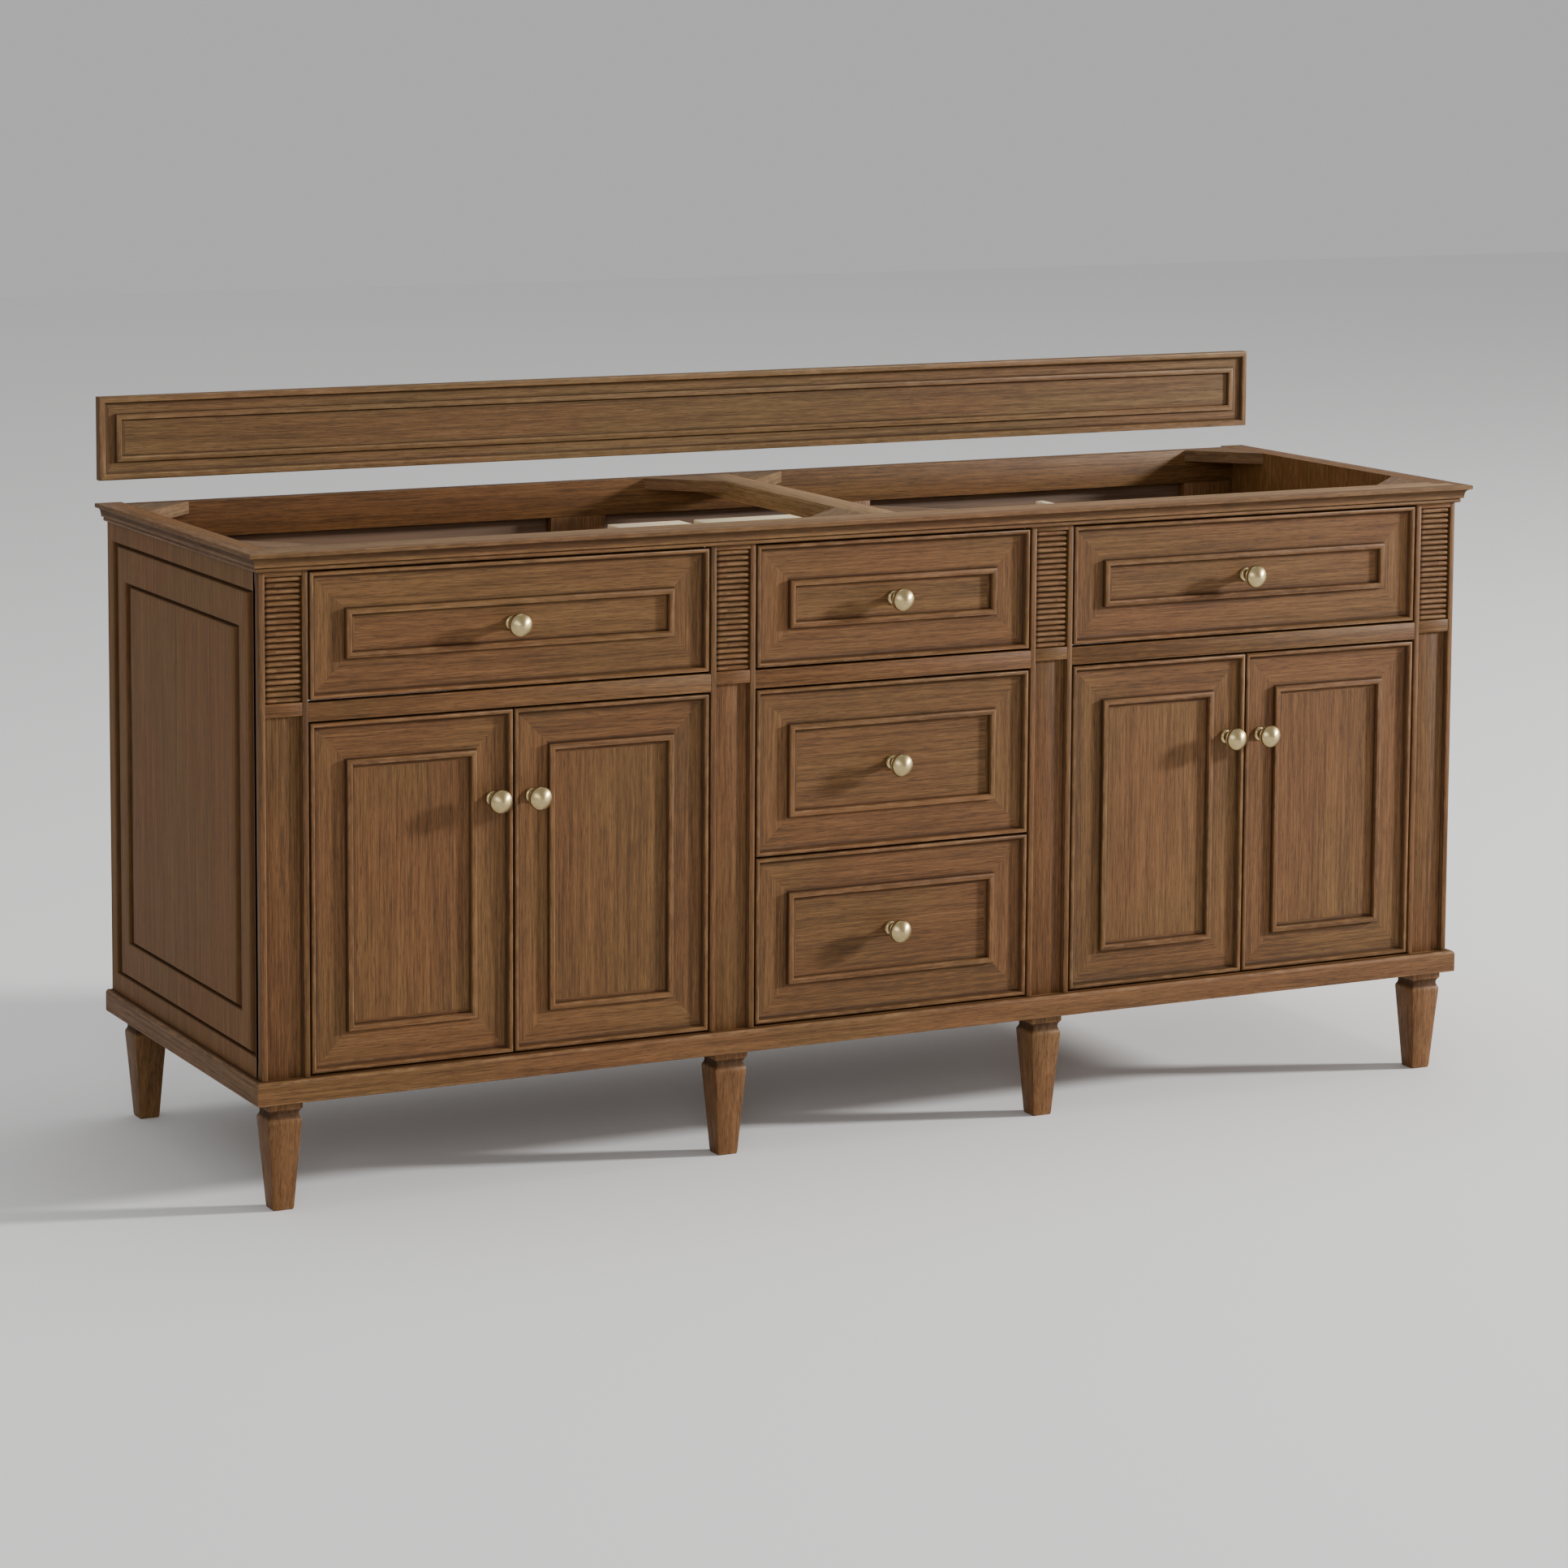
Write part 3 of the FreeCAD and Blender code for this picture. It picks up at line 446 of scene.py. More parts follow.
def front_section(lip=5.0, sunk=SUNK, bead_in=BEAD_IN, bead_wide=BEAD_WIDE, thick=FRONT_THICK):
    bead_out = bead_in + bead_wide
    rows = [(0, thick, 0, 0.2), (0, 2.0, 0, 0.35), (0.25, 0.9, 0.5, 0), (0.9, 0.25, 0.9, 0)]
    rows += [(2.0, 0.0, 0.35, 0), (lip - 1.6, 0.0, 0.35, 0), (lip - 0.7, 0.3, 1.0, 0)]
    rows += [(lip - 0.1, 1.1, 0.6, 0), (lip + 0.5, sunk * 0.45, 0, 0.2)]
    rows += [(lip + 1.2, sunk * 0.78, 0, 0.55), (lip + 2.4, sunk * 0.95, 0, 0.8)]
    rows += [(lip + 4.2, sunk, 0, 0.28), (lip + 8, sunk, 0, 0.0)]
    rows += [(bead_in - 4, sunk, 0, 0.0), (bead_in - 1.0, sunk, 0, 0.45), (bead_in - 0.2, sunk, 0, 1.0)]
    rows += [(bead_in, sunk - 0.5, 0, 0.9), (bead_in + 0.1, 2.2, 0, 0.1), (bead_in + 0.8, 1.0, 0.55, 0)]
    rows += [(bead_in + 2.2, 0.5, 0.3, 0), (bead_out - 2.4, 0.5, 0.3, 0), (bead_out - 1.0, 1.0, 0.8, 0)]
    rows += [(bead_out - 0.2, 2.2, 0.3, 0), (bead_out, sunk - 0.6, 0, 0.5), (bead_out + 0.3, sunk, 0, 0.95)]
    rows += [(bead_out + 1.6, sunk, 0, 0.4), (bead_out + 5, sunk, 0, 0.0)]
    return rows


def framed_panel(work, lowest, highest, outward, section, boards, centre):
    """A mitred frame whose section runs round a rectangle, closed by a flat centre.

    outward is the way the face looks. boards are the bottom, right, top and left members.
    """
    thin = [i for i in range(3) if abs(outward[i]) > 0.5][0]
    a, b = [i for i in range(3) if i != thin]
    face_at = highest[thin] if outward[thin] > 0 else lowest[thin]
    rings = []
    for inset, depth, rubbed_and_highlit, glazed_and_shaded in section:
        ring = []
        for at_a, at_b in ((0, 0), (1, 0), (1, 1), (0, 1)):
            spot = Vector((0, 0, 0))
            spot[a] = highest[a] - inset * MM if at_a else lowest[a] + inset * MM
            spot[b] = highest[b] - inset * MM if at_b else lowest[b] + inset * MM
            spot[thin] = face_at - outward[thin] * depth * MM
            ring.append(work.point(spot, rubbed_and_highlit, glazed_and_shaded))
        rings.append(ring)
    work.rings(rings, boards, cap_first=boards[0], cap_last=centre)


def relief_front(name, node, body, centre_along):
    """A door or drawer front: lip, sunk field, bead rectangle and flat centre."""
    work = Workpiece(name)
    members = [Board(X, Z), Board(Z, X), Board(X, Z), Board(Z, X)]
    across = X if centre_along == Z else Z
    framed_panel(work, low(node), high(node), -Y, front_section(), members, Board(centre_along, across))
    return work.finished(body, WALNUT, [node])


# ---- Mouldings that go round the front and both ends ----

def crown_section(out, tall):
    """(beyond the carcass, up, rubbed and highlit, glazed and shaded) in metres: bead, step, cove and
    square top edge. The cove and the hollows are darkened by glaze and painted shade.
    """
    rows = [(0.0, 0.0, 0, 0.9), (0.16, 0.0, 0, 0.7)]
    rows += [(0.28, 0.03, 0, 0), (0.33, 0.10, 0.5, 0), (0.31, 0.19, 0.2, 0), (0.27, 0.235, 0, 0.9)]
    rows += [(0.42, 0.25, 0, 0.3), (0.50, 0.28, 0.5, 0), (0.51, 0.38, 0.2, 0)]
    cove = [(0.52 + 0.30 * (1 - math.cos(t)), 0.40 + 0.34 * math.sin(t)) for t in
            [math.radians(90) * i / 6 for i in range(7)]]
    rows += [(x, z, 0, 0.55) for x, z in cove[1:]]
    rows += [(0.83, 0.765, 0, 0.6), (0.95, 0.77, 0.2, 0), (1.0, 0.80, 0.5, 0.2), (1.0, 0.965, 0.2, 0.2)]
    rows += [(0.985, 0.99, 1.0, 0), (0.95, 1.0, 0.6, 0), (0.80, 1.0, 0.6, 0), (0.0, 1.0, 0.6, 0)]
    return [(x * out, z * tall, rubbed_and_highlit, glazed_and_shaded) for x, z, rubbed_and_highlit, glazed_and_shaded in rows]


def band_section(out, tall):
    # Edges are lightened by wear and painted highlight; the band's foot and the joint at its top are
    # darkened by glaze and painted shade.
    rows = [(0, 0, 0, 0.3), (0.93, 0, 0, 0.1), (1.0, 0.03, 0.8, 0), (1.0, 0.10, 0, 0), (1.0, 0.82, 0, 0)]
    rows += [(0.97, 0.90, 0.5, 0), (0.86, 0.965, 0.9, 0), (0.70, 1.0, 0.5, 0)]
    rows += [(0.3, 1.0, 0, 0.3), (0, 1.0, 0, 1.0)]
    return [(x * out, z * tall, rubbed_and_highlit, glazed_and_shaded) for x, z, rubbed_and_highlit, glazed_and_shaded in rows]


def moulding_run(work, section, base, start, end, start_out, end_out, board):
    """A straight length between two mitred or square ends."""
    rings = []
    for corner, out in ((start, start_out), (end, end_out)):
        rings.append([
            work.point((corner[0] + out[0] * x, corner[1] + out[1] * x, base + z), rubbed_and_highlit, glazed_and_shaded)
            for x, z, rubbed_and_highlit, glazed_and_shaded in section
        ])
    work.rings(rings, [board], cap_first=board, cap_last=board)


def go_round(name, section, base, nodes):
    """Front and side runs of a moulding. They meet in mitres."""
    left, right = (-HALF, FACE), (HALF, FACE)
    back_left, back_right = (-HALF, BACK), (HALF, BACK)
    front = Workpiece(f"{name}_front")
    moulding_run(front, section, base, left, right, (-1, -1), (1, -1), Board(X, Z))
    front.finished("cabinet", WALNUT, [nodes[0]])
    ends = Workpiece(f"{name}_ends")
    moulding_run(ends, section, base, back_left, left, (-1, 0), (-1, -1), Board(Y, Z))
    moulding_run(ends, section, base, right, back_right, (1, -1), (1, 0), Board(Y, Z))
    ends.finished("cabinet", WALNUT, [nodes[1]])


def make_mouldings():
    crown_low = low("crown_front").z
    crown_out = FACE - low("crown_front").y
    go_round("crown", crown_section(crown_out, TOP - crown_low), crown_low, ["crown_front", "crown_sides"])
    band_low, band_high = low("base_band_front").z, high("base_band_front").z
    band_out = FACE - low("base_band_front").y
    go_round("base_band", band_section(band_out, band_high - band_low), band_low,
             ["base_band_front", "base_band_sides"])


# ---- Carcass ----

GROOVE_EDGE, GROOVE_STEP, GROOVE_WIDE, GROOVE_DEEP = 27, 50, 9, 5
GROOVE_FROM_FOOT, GROOVE_FROM_TOP = 54, 48
UPRIGHT_WIDER, LYING_NARROWER = 1.9, 0.5


def groove_section():
    """One soft routed groove: (from its middle, depth, rubbed and highlit, glazed and shaded) in mm. Its
    walls and floor are darkened by glaze and painted shade.
    """
    half = GROOVE_WIDE / 2
    rows = [(-half - 5, 0, 0, 0.0), (-half - 0.8, 0.0, 0.15, 0.15), (-half + 0.4, 0.7, 0, 0.55)]
    rows += [(-half + 1.6, GROOVE_DEEP * 0.8, 0, 0.9), (-half + 3.2, GROOVE_DEEP, 0, 1.0)]
    rows += [(half - 2.6, GROOVE_DEEP * 0.8, 0, 0.9), (half - 0.6, GROOVE_DEEP * 0.3, 0, 0.65)]
    rows += [(half + 0.8, 0.3, 0, 0.3), (half + 2.0, 0.0, 0.1, 0.1), (half + 6, 0.0, 0, 0.0)]
    return rows


def side_panels():
    """Side panels, veneered with upright grain and grooved twice round."""
    for name, outward in (("left", -X), ("right", X)):
        node = f"side_panel_{name}"
        lowest, highest = low(node), high(node)
        work = Workpiece(node)
        veneer = Board(Z, Y)
        edges = [Board(Z, Y, veneer.tone) for _ in range(4)]
        groove = (FACE + GROOVE_EDGE * MM, BACK - GROOVE_EDGE * MM,
                  lowest.z + GROOVE_FROM_FOOT * MM, highest.z - GROOVE_FROM_TOP * MM)
        grooved_board(work, outward, lowest, highest, groove, veneer, edges)
        work.finished("cabinet", SIDE_VENEER, [node])


def grooved_board(work, outward, lowest, highest, groove, veneer, edges):
    """A board whose face carries the grooves; its top edge is lightened with painted light from above, like
    the rest of the top.
    """
    face_x = highest.x if outward.x > 0 else lowest.x
    thick = highest.x - lowest.x
    rings = []

    def ring(y0, y1, z0, z1, depth, rubbed_and_highlit, glazed_and_shaded, lit_from_above=0.0):
        x = face_x - outward.x * depth
        corners = ((y0, z0, 0), (y1, z0, 0), (y1, z1, lit_from_above), (y0, z1, lit_from_above))
        rings.append([work.point((x, y, z), max(rubbed_and_highlit, top), glazed_and_shaded) for y, z, top in corners])

    rim = (lowest.y, highest.y, lowest.z, highest.z)
    # The rim's top edge is lightened: painted light from above.
    ring(*rim, thick, 0, 0, 0.6)
    ring(*rim, 0.3 * MM, 0, 0, 0.6)
    ring(rim[0] + 0.3 * MM, rim[1] - 0.3 * MM, rim[2] + 0.3 * MM, rim[3] - 0.3 * MM, 0, 0.1, 0.1)
    for start in (0, GROOVE_STEP):
        middle = (start + GROOVE_WIDE / 2) * MM
        for across, depth, rubbed_and_highlit, glazed_and_shaded in groove_section():
            upright = middle + across * UPRIGHT_WIDER * MM
            lying = middle + across * LYING_NARROWER * MM
            ring(groove[0] + upright, groove[1] - upright, groove[2] + lying, groove[3] - lying,
                 depth * MM, rubbed_and_highlit, glazed_and_shaded)
    work.rings(rings, edges, cap_first=veneer, cap_last=veneer)


def slab(work, lowest, highest, along, ease=0.9 * MM):
    """One eased board, whose grain runs along X, Y or Z."""
    across = {0: Z, 1: X, 2: X}[[i for i in range(3) if along[i]][0]]
    work.board(lowest, highest, Board(along, across), ease)


def plain_boards(name, node, body, along, material=WALNUT):
    """A CAD node that is one plain board, with eased edges and its own grain."""
    work = Workpiece(name)
    slab(work, low(node), high(node), along)
    return work.finished(body, material, [node])


BACK_RAIL_TALL = 50 * MM
BACK_STILE_WIDE = 84 * MM
PARTITION_THICK = 18 * MM
GUSSET_LEG = 85 * MM
PACKING_TALL = 36 * MM
FILLET = 7.5 * MM
RECESS = 6 * MM
BLOCK_LOW, REED_LOW, REED_PITCH, REED_COUNT = 0.631, 0.648, 0.0076, 21
REED_HIGH = REED_LOW + REED_PITCH * REED_COUNT


def pilasters():
    """Each pilaster: two edge fillets, a backing, the plain block and the strip over the reeds."""
    for number in range(1, 5):
        node = f"pilaster_{number}"
        a, b = low(node), high(node)
        work = Workpiece(node)
        slab(work, a, (a.x + FILLET, b.y, b.z), Z)
        slab(work, (b.x - FILLET, a.y, a.z), b, Z)
        inner_low, inner_high = a.x + FILLET, b.x - FILLET
        slab(work, (inner_low, a.y + RECESS, a.z), (inner_high, b.y, BLOCK_LOW), Z, 0.3 * MM)
        slab(work, (inner_low, a.y + 0.2 * MM, BLOCK_LOW), (inner_high, b.y, REED_LOW), X, 1.2 * MM)
        slab(work, (inner_low, a.y + RECESS, REED_LOW), (inner_high, b.y, REED_HIGH), X, 0.3 * MM)
        slab(work, (inner_low, a.y + 0.2 * MM, REED_HIGH), (inner_high, b.y, b.z), X, 0.6 * MM)
        recess_cove(work, inner_low, inner_high, a)
        work.finished("cabinet", WALNUT, [node])


def recess_cove(work, inner_low, inner_high, a):
    """A small coved slip down each side of the lower sunk panel, darkened in the corner by glaze and
    painted shade.
    """
    size = 2.6 * MM
    floor_y = a.y + RECESS
    for edge, way in ((inner_low, 1), (inner_high, -1)):
        rings = []
        for z in (a.z, BLOCK_LOW):
            section = [(0, 0, 1.0), (size, 0, 0.9), (size * 0.45, size * 0.35, 0.7), (0, size * 1.1, 0.3)]
            rings.append([
                work.point((edge + way * x, floor_y - y, z), 0, glazed_and_shaded) for x, y, glazed_and_shaded in section
            ])
        board = Board(Z, X)
        work.rings(rings, [board], cap_first=board, cap_last=board)


# ---- Reeds, by Geometry Nodes ----

class Growth:
    """A Geometry Nodes tree with named inputs and short ways to join its nodes."""

    def __init__(self, name, inputs):
        self.tree = bpy.data.node_groups.new(name, "GeometryNodeTree")
        self.tree.interface.new_socket("Geometry", in_out="INPUT", socket_type="NodeSocketGeometry")
        self.names = {}
        for label, kind in inputs.items():
            socket = self.tree.interface.new_socket(label, in_out="INPUT", socket_type=f"NodeSocket{kind}")
            self.names[label] = socket.identifier
        self.tree.interface.new_socket("Geometry", in_out="OUTPUT", socket_type="NodeSocketGeometry")
        self.given = self.tree.nodes.new("NodeGroupInput").outputs

    def add(self, kind, inputs=None, **settings):
        node = self.tree.nodes.new(kind)
        for key, value in settings.items():
            setattr(node, key, value)
        for key, value in (inputs or {}).items():
            socket = node.inputs[key]
            if isinstance(value, bpy.types.NodeSocket):
                self.tree.links.new(value, socket)
            else:
                socket.default_value = value
        return node

    def math(self, operation, a, b=0.0, c=0.0):
        return self.add("ShaderNodeMath", {0: a, 1: b, 2: c}, operation=operation).outputs[0]

    def on_points(self, points, copied):
        return self.add("GeometryNodeInstanceOnPoints", {"Points": points, "Instance": copied}).outputs[0]

    def store(self, geometry, name, vector):
        node = self.add("GeometryNodeStoreNamedAttribute", {"Geometry": geometry, "Name": name},
                        data_type="FLOAT_VECTOR", domain="POINT")
        self.tree.links.new(vector, node.inputs["Value"])
        return node.outputs[0]

    def output(self, geometry):
        end = self.tree.nodes.new("NodeGroupOutput")
        wear = {"Geometry": geometry, "Material": self.given["Material"]}
        material = self.add("GeometryNodeSetMaterial", wear)
        self.tree.links.new(material.outputs[0], end.inputs[0])

    def grown_on(self, points, values):
        """The finished mesh grown on these points; the modifier is gone afterwards."""
        seed = bpy.data.meshes.new("seed_points")
        seed.from_pydata([tuple(p) for p in points], [], [])
        holder = bpy.data.objects.new("seed_points", seed)
        bpy.context.collection.objects.link(holder)
        grow = holder.modifiers.new("grow", "NODES")
        grow.node_group = self.tree
        for label, value in values.items():
            grow[self.names[label]] = value
        bpy.context.view_layer.update()
        evaluated = holder.evaluated_get(bpy.context.evaluated_depsgraph_get())
        mesh = bpy.data.meshes.new_from_object(evaluated)
        holder.modifiers.remove(grow)
        bpy.data.objects.remove(holder)
        return mesh


def reed_growth():
    """Half-sunk reeds with tapered ends, one above another, a stack on every point given."""
    grow = Growth("reed_stacks", {
        "Width": "Float", "Pitch": "Float", "Count": "Int", "Radius": "Float",
        "Flatness": "Float", "Material": "Material",
    })
    given = grow.given
    rod = grow.add("GeometryNodeMeshCylinder", {
        "Vertices": 20, "Side Segments": 24, "Radius": given["Radius"], "Depth": given["Width"],
    }, fill_type="NGON").outputs["Mesh"]
    place = grow.add("GeometryNodeInputPosition").outputs[0]
    x, y, z = grow.add("ShaderNodeSeparateXYZ", {0: place}).outputs
    half = grow.math("MULTIPLY", given["Width"], 0.5)
    from_end = grow.math("SUBTRACT", half, grow.math("ABSOLUTE", z))
    share = grow.math("DIVIDE", from_end, given["Radius"])
    taper = grow.add("ShaderNodeMapRange", {0: share, 1: 0.0, 2: 1.1, 3: 0.62, 4: 1.0},
                     interpolation_type="SMOOTHSTEP").outputs[0]
    narrow_x = grow.math("MULTIPLY", x, taper)
    deep = grow.math("MULTIPLY", grow.math("MULTIPLY", y, taper), given["Flatness"])
    along_x = grow.math("ADD", z, half)
    turned = grow.add("ShaderNodeCombineXYZ", {0: along_x, 1: deep, 2: narrow_x}).outputs[0]
    reed = grow.add("GeometryNodeSetPosition", {"Geometry": rod, "Position": turned}).outputs[0]
    step = grow.add("ShaderNodeCombineXYZ", {0: 0.0, 1: 0.0, 2: given["Pitch"]}).outputs[0]
    stack_points = grow.add("GeometryNodeMeshLine", {"Count": given["Count"], "Offset": step}).outputs[0]
    stack = grow.on_points(stack_points, reed)
    stacks = grow.on_points(given["Geometry"], stack)
    wood = grow.add("GeometryNodeRealizeInstances", {0: stacks}).outputs[0]
    px, py, pz = grow.add("ShaderNodeSeparateXYZ", {0: place}).outputs
    number = grow.math("FLOOR", grow.math("DIVIDE", grow.math("SUBTRACT", pz, REED_LOW), given["Pitch"]))
    seed = grow.add("ShaderNodeCombineXYZ", {
        0: number, 1: grow.math("FLOOR", grow.math("MULTIPLY", px, 8.0)), 2: 3.0,
    }).outputs[0]
    jitter = grow.add("ShaderNodeTexWhiteNoise", {"Vector": seed}, noise_dimensions="3D")
    own = grow.add("ShaderNodeVectorMath", {0: jitter.outputs["Color"], 1: (5.0, 5.0, 5.0)},
                   operation="MULTIPLY").outputs[0]
    along = grow.add("ShaderNodeCombineXYZ", {0: px, 1: pz, 2: py}).outputs[0]
    grain = grow.add("ShaderNodeVectorMath", {0: along, 1: own}, operation="ADD").outputs[0]
    centre_y = FACE + RECESS
    proud = grow.math("DIVIDE", grow.math("SUBTRACT", centre_y, py),
                      grow.math("MULTIPLY", given["Radius"], given["Flatness"]))
    # The gaps between reeds are darkened by glaze and painted shade; the crests are lightened by wear and
    # painted highlight.
    gap_glaze_and_shade = grow.add("ShaderNodeMapRange", {0: proud, 1: 0.30, 2: 0.80, 3: 1.0, 4: 0.0}).outputs[0]
    crest_wear_and_highlight = grow.add("ShaderNodeMapRange", {0: proud, 1: 0.78, 2: 1.0, 3: 0.0, 4: 0.80}).outputs[0]
    tone = grow.math("MULTIPLY_ADD", jitter.outputs["Value"], 2.0, -1.0)
    marks = grow.add("ShaderNodeCombineXYZ", {0: crest_wear_and_highlight, 1: gap_glaze_and_shade, 2: tone}).outputs[0]
    wood = grow.store(wood, "grain", grain)
    wood = grow.store(wood, "finish_and_painted_light", marks)
    grow.output(wood)
    return grow


def reeded_panels():
    """The reeds in the top of each pilaster."""
    columns = []
    for number in range(1, 5):
        start = low(f"pilaster_{number}")
        columns.append((start.x + FILLET, FACE + RECESS, REED_LOW + REED_PITCH / 2))
    wide = high("pilaster_1").x - low("pilaster_1").x - 2 * FILLET
    mesh = reed_growth().grown_on(columns, {
        "Width": wide, "Pitch": REED_PITCH, "Count": REED_COUNT, "Radius": REED_PITCH * 0.485,
        "Flatness": 1.25, "Material": WALNUT,
    })
    mesh.name = "reeds"
    settled("reeds", mesh, "cabinet", WALNUT, ["reed_panels"])


# ---- Rails, top frame and feet ----

def rails():
    """The bottom rail and the rails under the top drawers."""
    plain_boards("bottom_rail", "bottom_rail", "cabinet", X)
    a, b = low("drawer_rails"), high("drawer_rails")
    work = Workpiece("drawer_rails")
    edges = [high(f"pilaster_{n}").x for n in (1, 2, 3)]
    ends = [low(f"pilaster_{n}").x for n in (2, 3, 4)]
    for start, end in zip(edges, ends):
        slab(work, (start, a.y, a.z), (end, b.y, b.z), X, 1.1 * MM)
    work.finished("cabinet", WALNUT, ["drawer_rails"])


def top_frame():
    """The open frame that carries the stone top."""
    a, b = low("top_rail_front"), high("top_rail_front")
    thick = FRONT_THICK * MM
    inner = high("back_frame").x
    work = Workpiece("top_rail_front")
    slab(work, a, (b.x, a.y + thick, b.z), X, 0.4 * MM)
    slab(work, (-inner, a.y + thick, a.z), (inner, b.y, b.z), X, 0.4 * MM)
    work.finished("cabinet", WALNUT_LIT_FROM_ABOVE, ["top_rail_front"])
    back_frame()
    plain_boards("top_divider", "top_divider", "cabinet", Y, WALNUT_LIT_FROM_ABOVE)
    corner_gussets(inner)


def back_frame():
    """The back rail, as high as it is because the stone top rests on it, and four stiles."""
    a, b = low("back_frame"), high("back_frame")
    under = b.z - BACK_RAIL_TALL
    work = Workpiece("back_frame")
    slab(work, (a.x, a.y, under), b, X, 1.5 * MM)
    partition = high("partitions").x - PARTITION_THICK
    for side in (-1, 1):
        for outer in (partition, b.x):
            x0, x1 = sorted((side * outer, side * (outer - BACK_STILE_WIDE)))
            slab(work, (x0, a.y, a.z), (x1, b.y, under), Z, 0.5 * MM)
    work.finished("cabinet", WALNUT, ["back_frame"])


def corner_gussets(inner):
    """Triangular blocks glued into the corners of both top openings."""
    a, b = low("corner_gussets"), high("corner_gussets")
    leg = GUSSET_LEG
    half_divider = high("top_divider").x
    work = Workpiece("corner_gussets")
    for side in (-1, 1):
        for corner, inward in ((side * inner, -side), (side * half_divider, side)):
            for edge, way in ((a.y, 1), (b.y, -1)):
                triangle_block(work, Vector((corner, edge, a.z)), inward * leg, way * leg, b.z - a.z)
    work.finished("cabinet", BLOCK_WALNUT, ["corner_gussets"])


def triangle_block(work, corner, run_x, run_y, tall, ease=0.8 * MM):
    along = Vector((run_x, -run_y, 0)).normalized()
    board = Board(along, Z)
    rings = []
    # The upper edges are lightened: wear and painted highlight.
    for height, inset, rubbed_and_highlit in ((0, ease, 0), (ease, 0, 0.3), (tall - ease, 0, 0.6), (tall, ease, 0.6)):
        sx, sy = math.copysign(inset, run_x), math.copysign(inset, run_y)
        spots = ((sx, sy), (run_x - 2.4 * sx, sy), (sx, run_y - 2.4 * sy))
        rings.append([work.point(corner + Vector((x, y, height)), rubbed_and_highlit) for x, y in spots])
    work.rings(rings, [board], cap_first=board, cap_last=board)


# A foot from the top down: (height share, half width in mm, corner rounding in mm, rubbed and highlit,
# glazed and shaded).
# The coved neck is darkened by glaze and painted shade; the edges are lightened by wear and painted
# highlight.
FOOT = [
    (1.000, 22.9, 1.0, 0, 0.5), (0.997, 23.25, 1.2, 0.3, 0), (0.942, 23.25, 1.2, 0.2, 0),
    (0.936, 22.9, 1.2, 0.8, 0), (0.929, 22.2, 1.2, 0.2, 0.4), (0.915, 20.7, 1.4, 0, 0.9),
    (0.900, 19.8, 1.5, 0, 1.0), (0.882, 19.6, 1.5, 0, 0.9), (0.866, 19.9, 1.5, 0, 0.9),
    (0.850, 20.9, 1.5, 0, 0.5), (0.838, 22.0, 1.4, 0.5, 0), (0.822, 22.5, 1.4, 0.6, 0),
    (0.800, 22.3, 1.3, 0.1, 0), (0.45, 18.5, 1.3, 0.05, 0), (0.04, 14.3, 1.3, 0.1, 0),
    (0.012, 13.9, 1.6, 0.7, 0), (0.0, 13.2, 1.8, 0.5, 0.4),
]


def square_ring(work, centre, z, half, rounding, rubbed_and_highlit, glazed_and_shaded):
    # Every corner is lightened at least a little: wear and painted highlight.
    ring = []
    for quarter in range(4):
        sx, sy = ((-1, -1), (1, -1), (1, 1), (-1, 1))[quarter]
        middle = (sx * (half - rounding), sy * (half - rounding))
        for x, y in arc(middle, rounding, 180 + 90 * quarter, 270 + 90 * quarter, 2):
            ring.append(work.point((centre[0] + x * MM, centre[1] + y * MM, z), max(rubbed_and_highlit, 0.25), glazed_and_shaded))
    return ring


def feet():
    """Square feet: block, coved neck and a taper to the floor."""
    for row in ("front", "back"):
        node = f"feet_{row}"
        a, b = low(node), high(node)
        y = (a.y + b.y) / 2
        end = b.x - (b.y - a.y) / 2
        middle = (low("pilaster_3").x + high("pilaster_3").x) / 2
        places = [-end, -middle, middle, end] if row == "front" else [-end, end]
        work = Workpiece(node)
        for x in places:
            board = Board(Z, X)
            rings = [square_ring(work, (x, y), share * b.z, *rest) for share, *rest in FOOT]
            work.rings(rings, [board], cap_first=board, cap_last=board)
        work.finished("cabinet", WALNUT, [node])


# ---- Backsplash ----

def backsplash():
    """A moulded board: lip, sunk field, long bead and flat centre."""
    work = Workpiece("backsplash")
    a, b = low("backsplash_board"), high("backsplash_board")
    section = front_section(lip=8.0, sunk=5.0, bead_in=24, bead_wide=8, thick=(b.y - a.y) / MM)
    members = [Board(X, Z), Board(Z, X), Board(X, Z), Board(Z, X)]
    framed_panel(work, a, b, -Y, section, members, Board(X, Z))
    work.finished("cabinet", SPLASH_WALNUT, ["backsplash_board", "backsplash_bead"])


# ---- Inside ----

def pale_kickers():
    """Pale boards glued behind the front top rail, and the end of an upright post."""
    a, b = low("pale_kickers"), high("pale_kickers")
    bay_in = high("partitions").x
    down, thick, post_deep = 2 * MM, 12 * MM, 40 * MM
    space, short = 20 * MM, 1 * MM
    top = TOP - down
    right_end = low("top_divider").x - GUSSET_LEG - short
    work = Workpiece("pale_kickers")
    slab(work, (a.x, a.y, top - thick), (-bay_in, b.y, top), X)
    slab(work, (-bay_in + space, a.y, top - thick), (right_end, b.y, top), X)
    slab(work, (b.x - thick, a.y, a.z), (b.x, a.y + post_deep, b.z), Z)
    work.finished("cabinet", PALE, ["pale_kickers"])


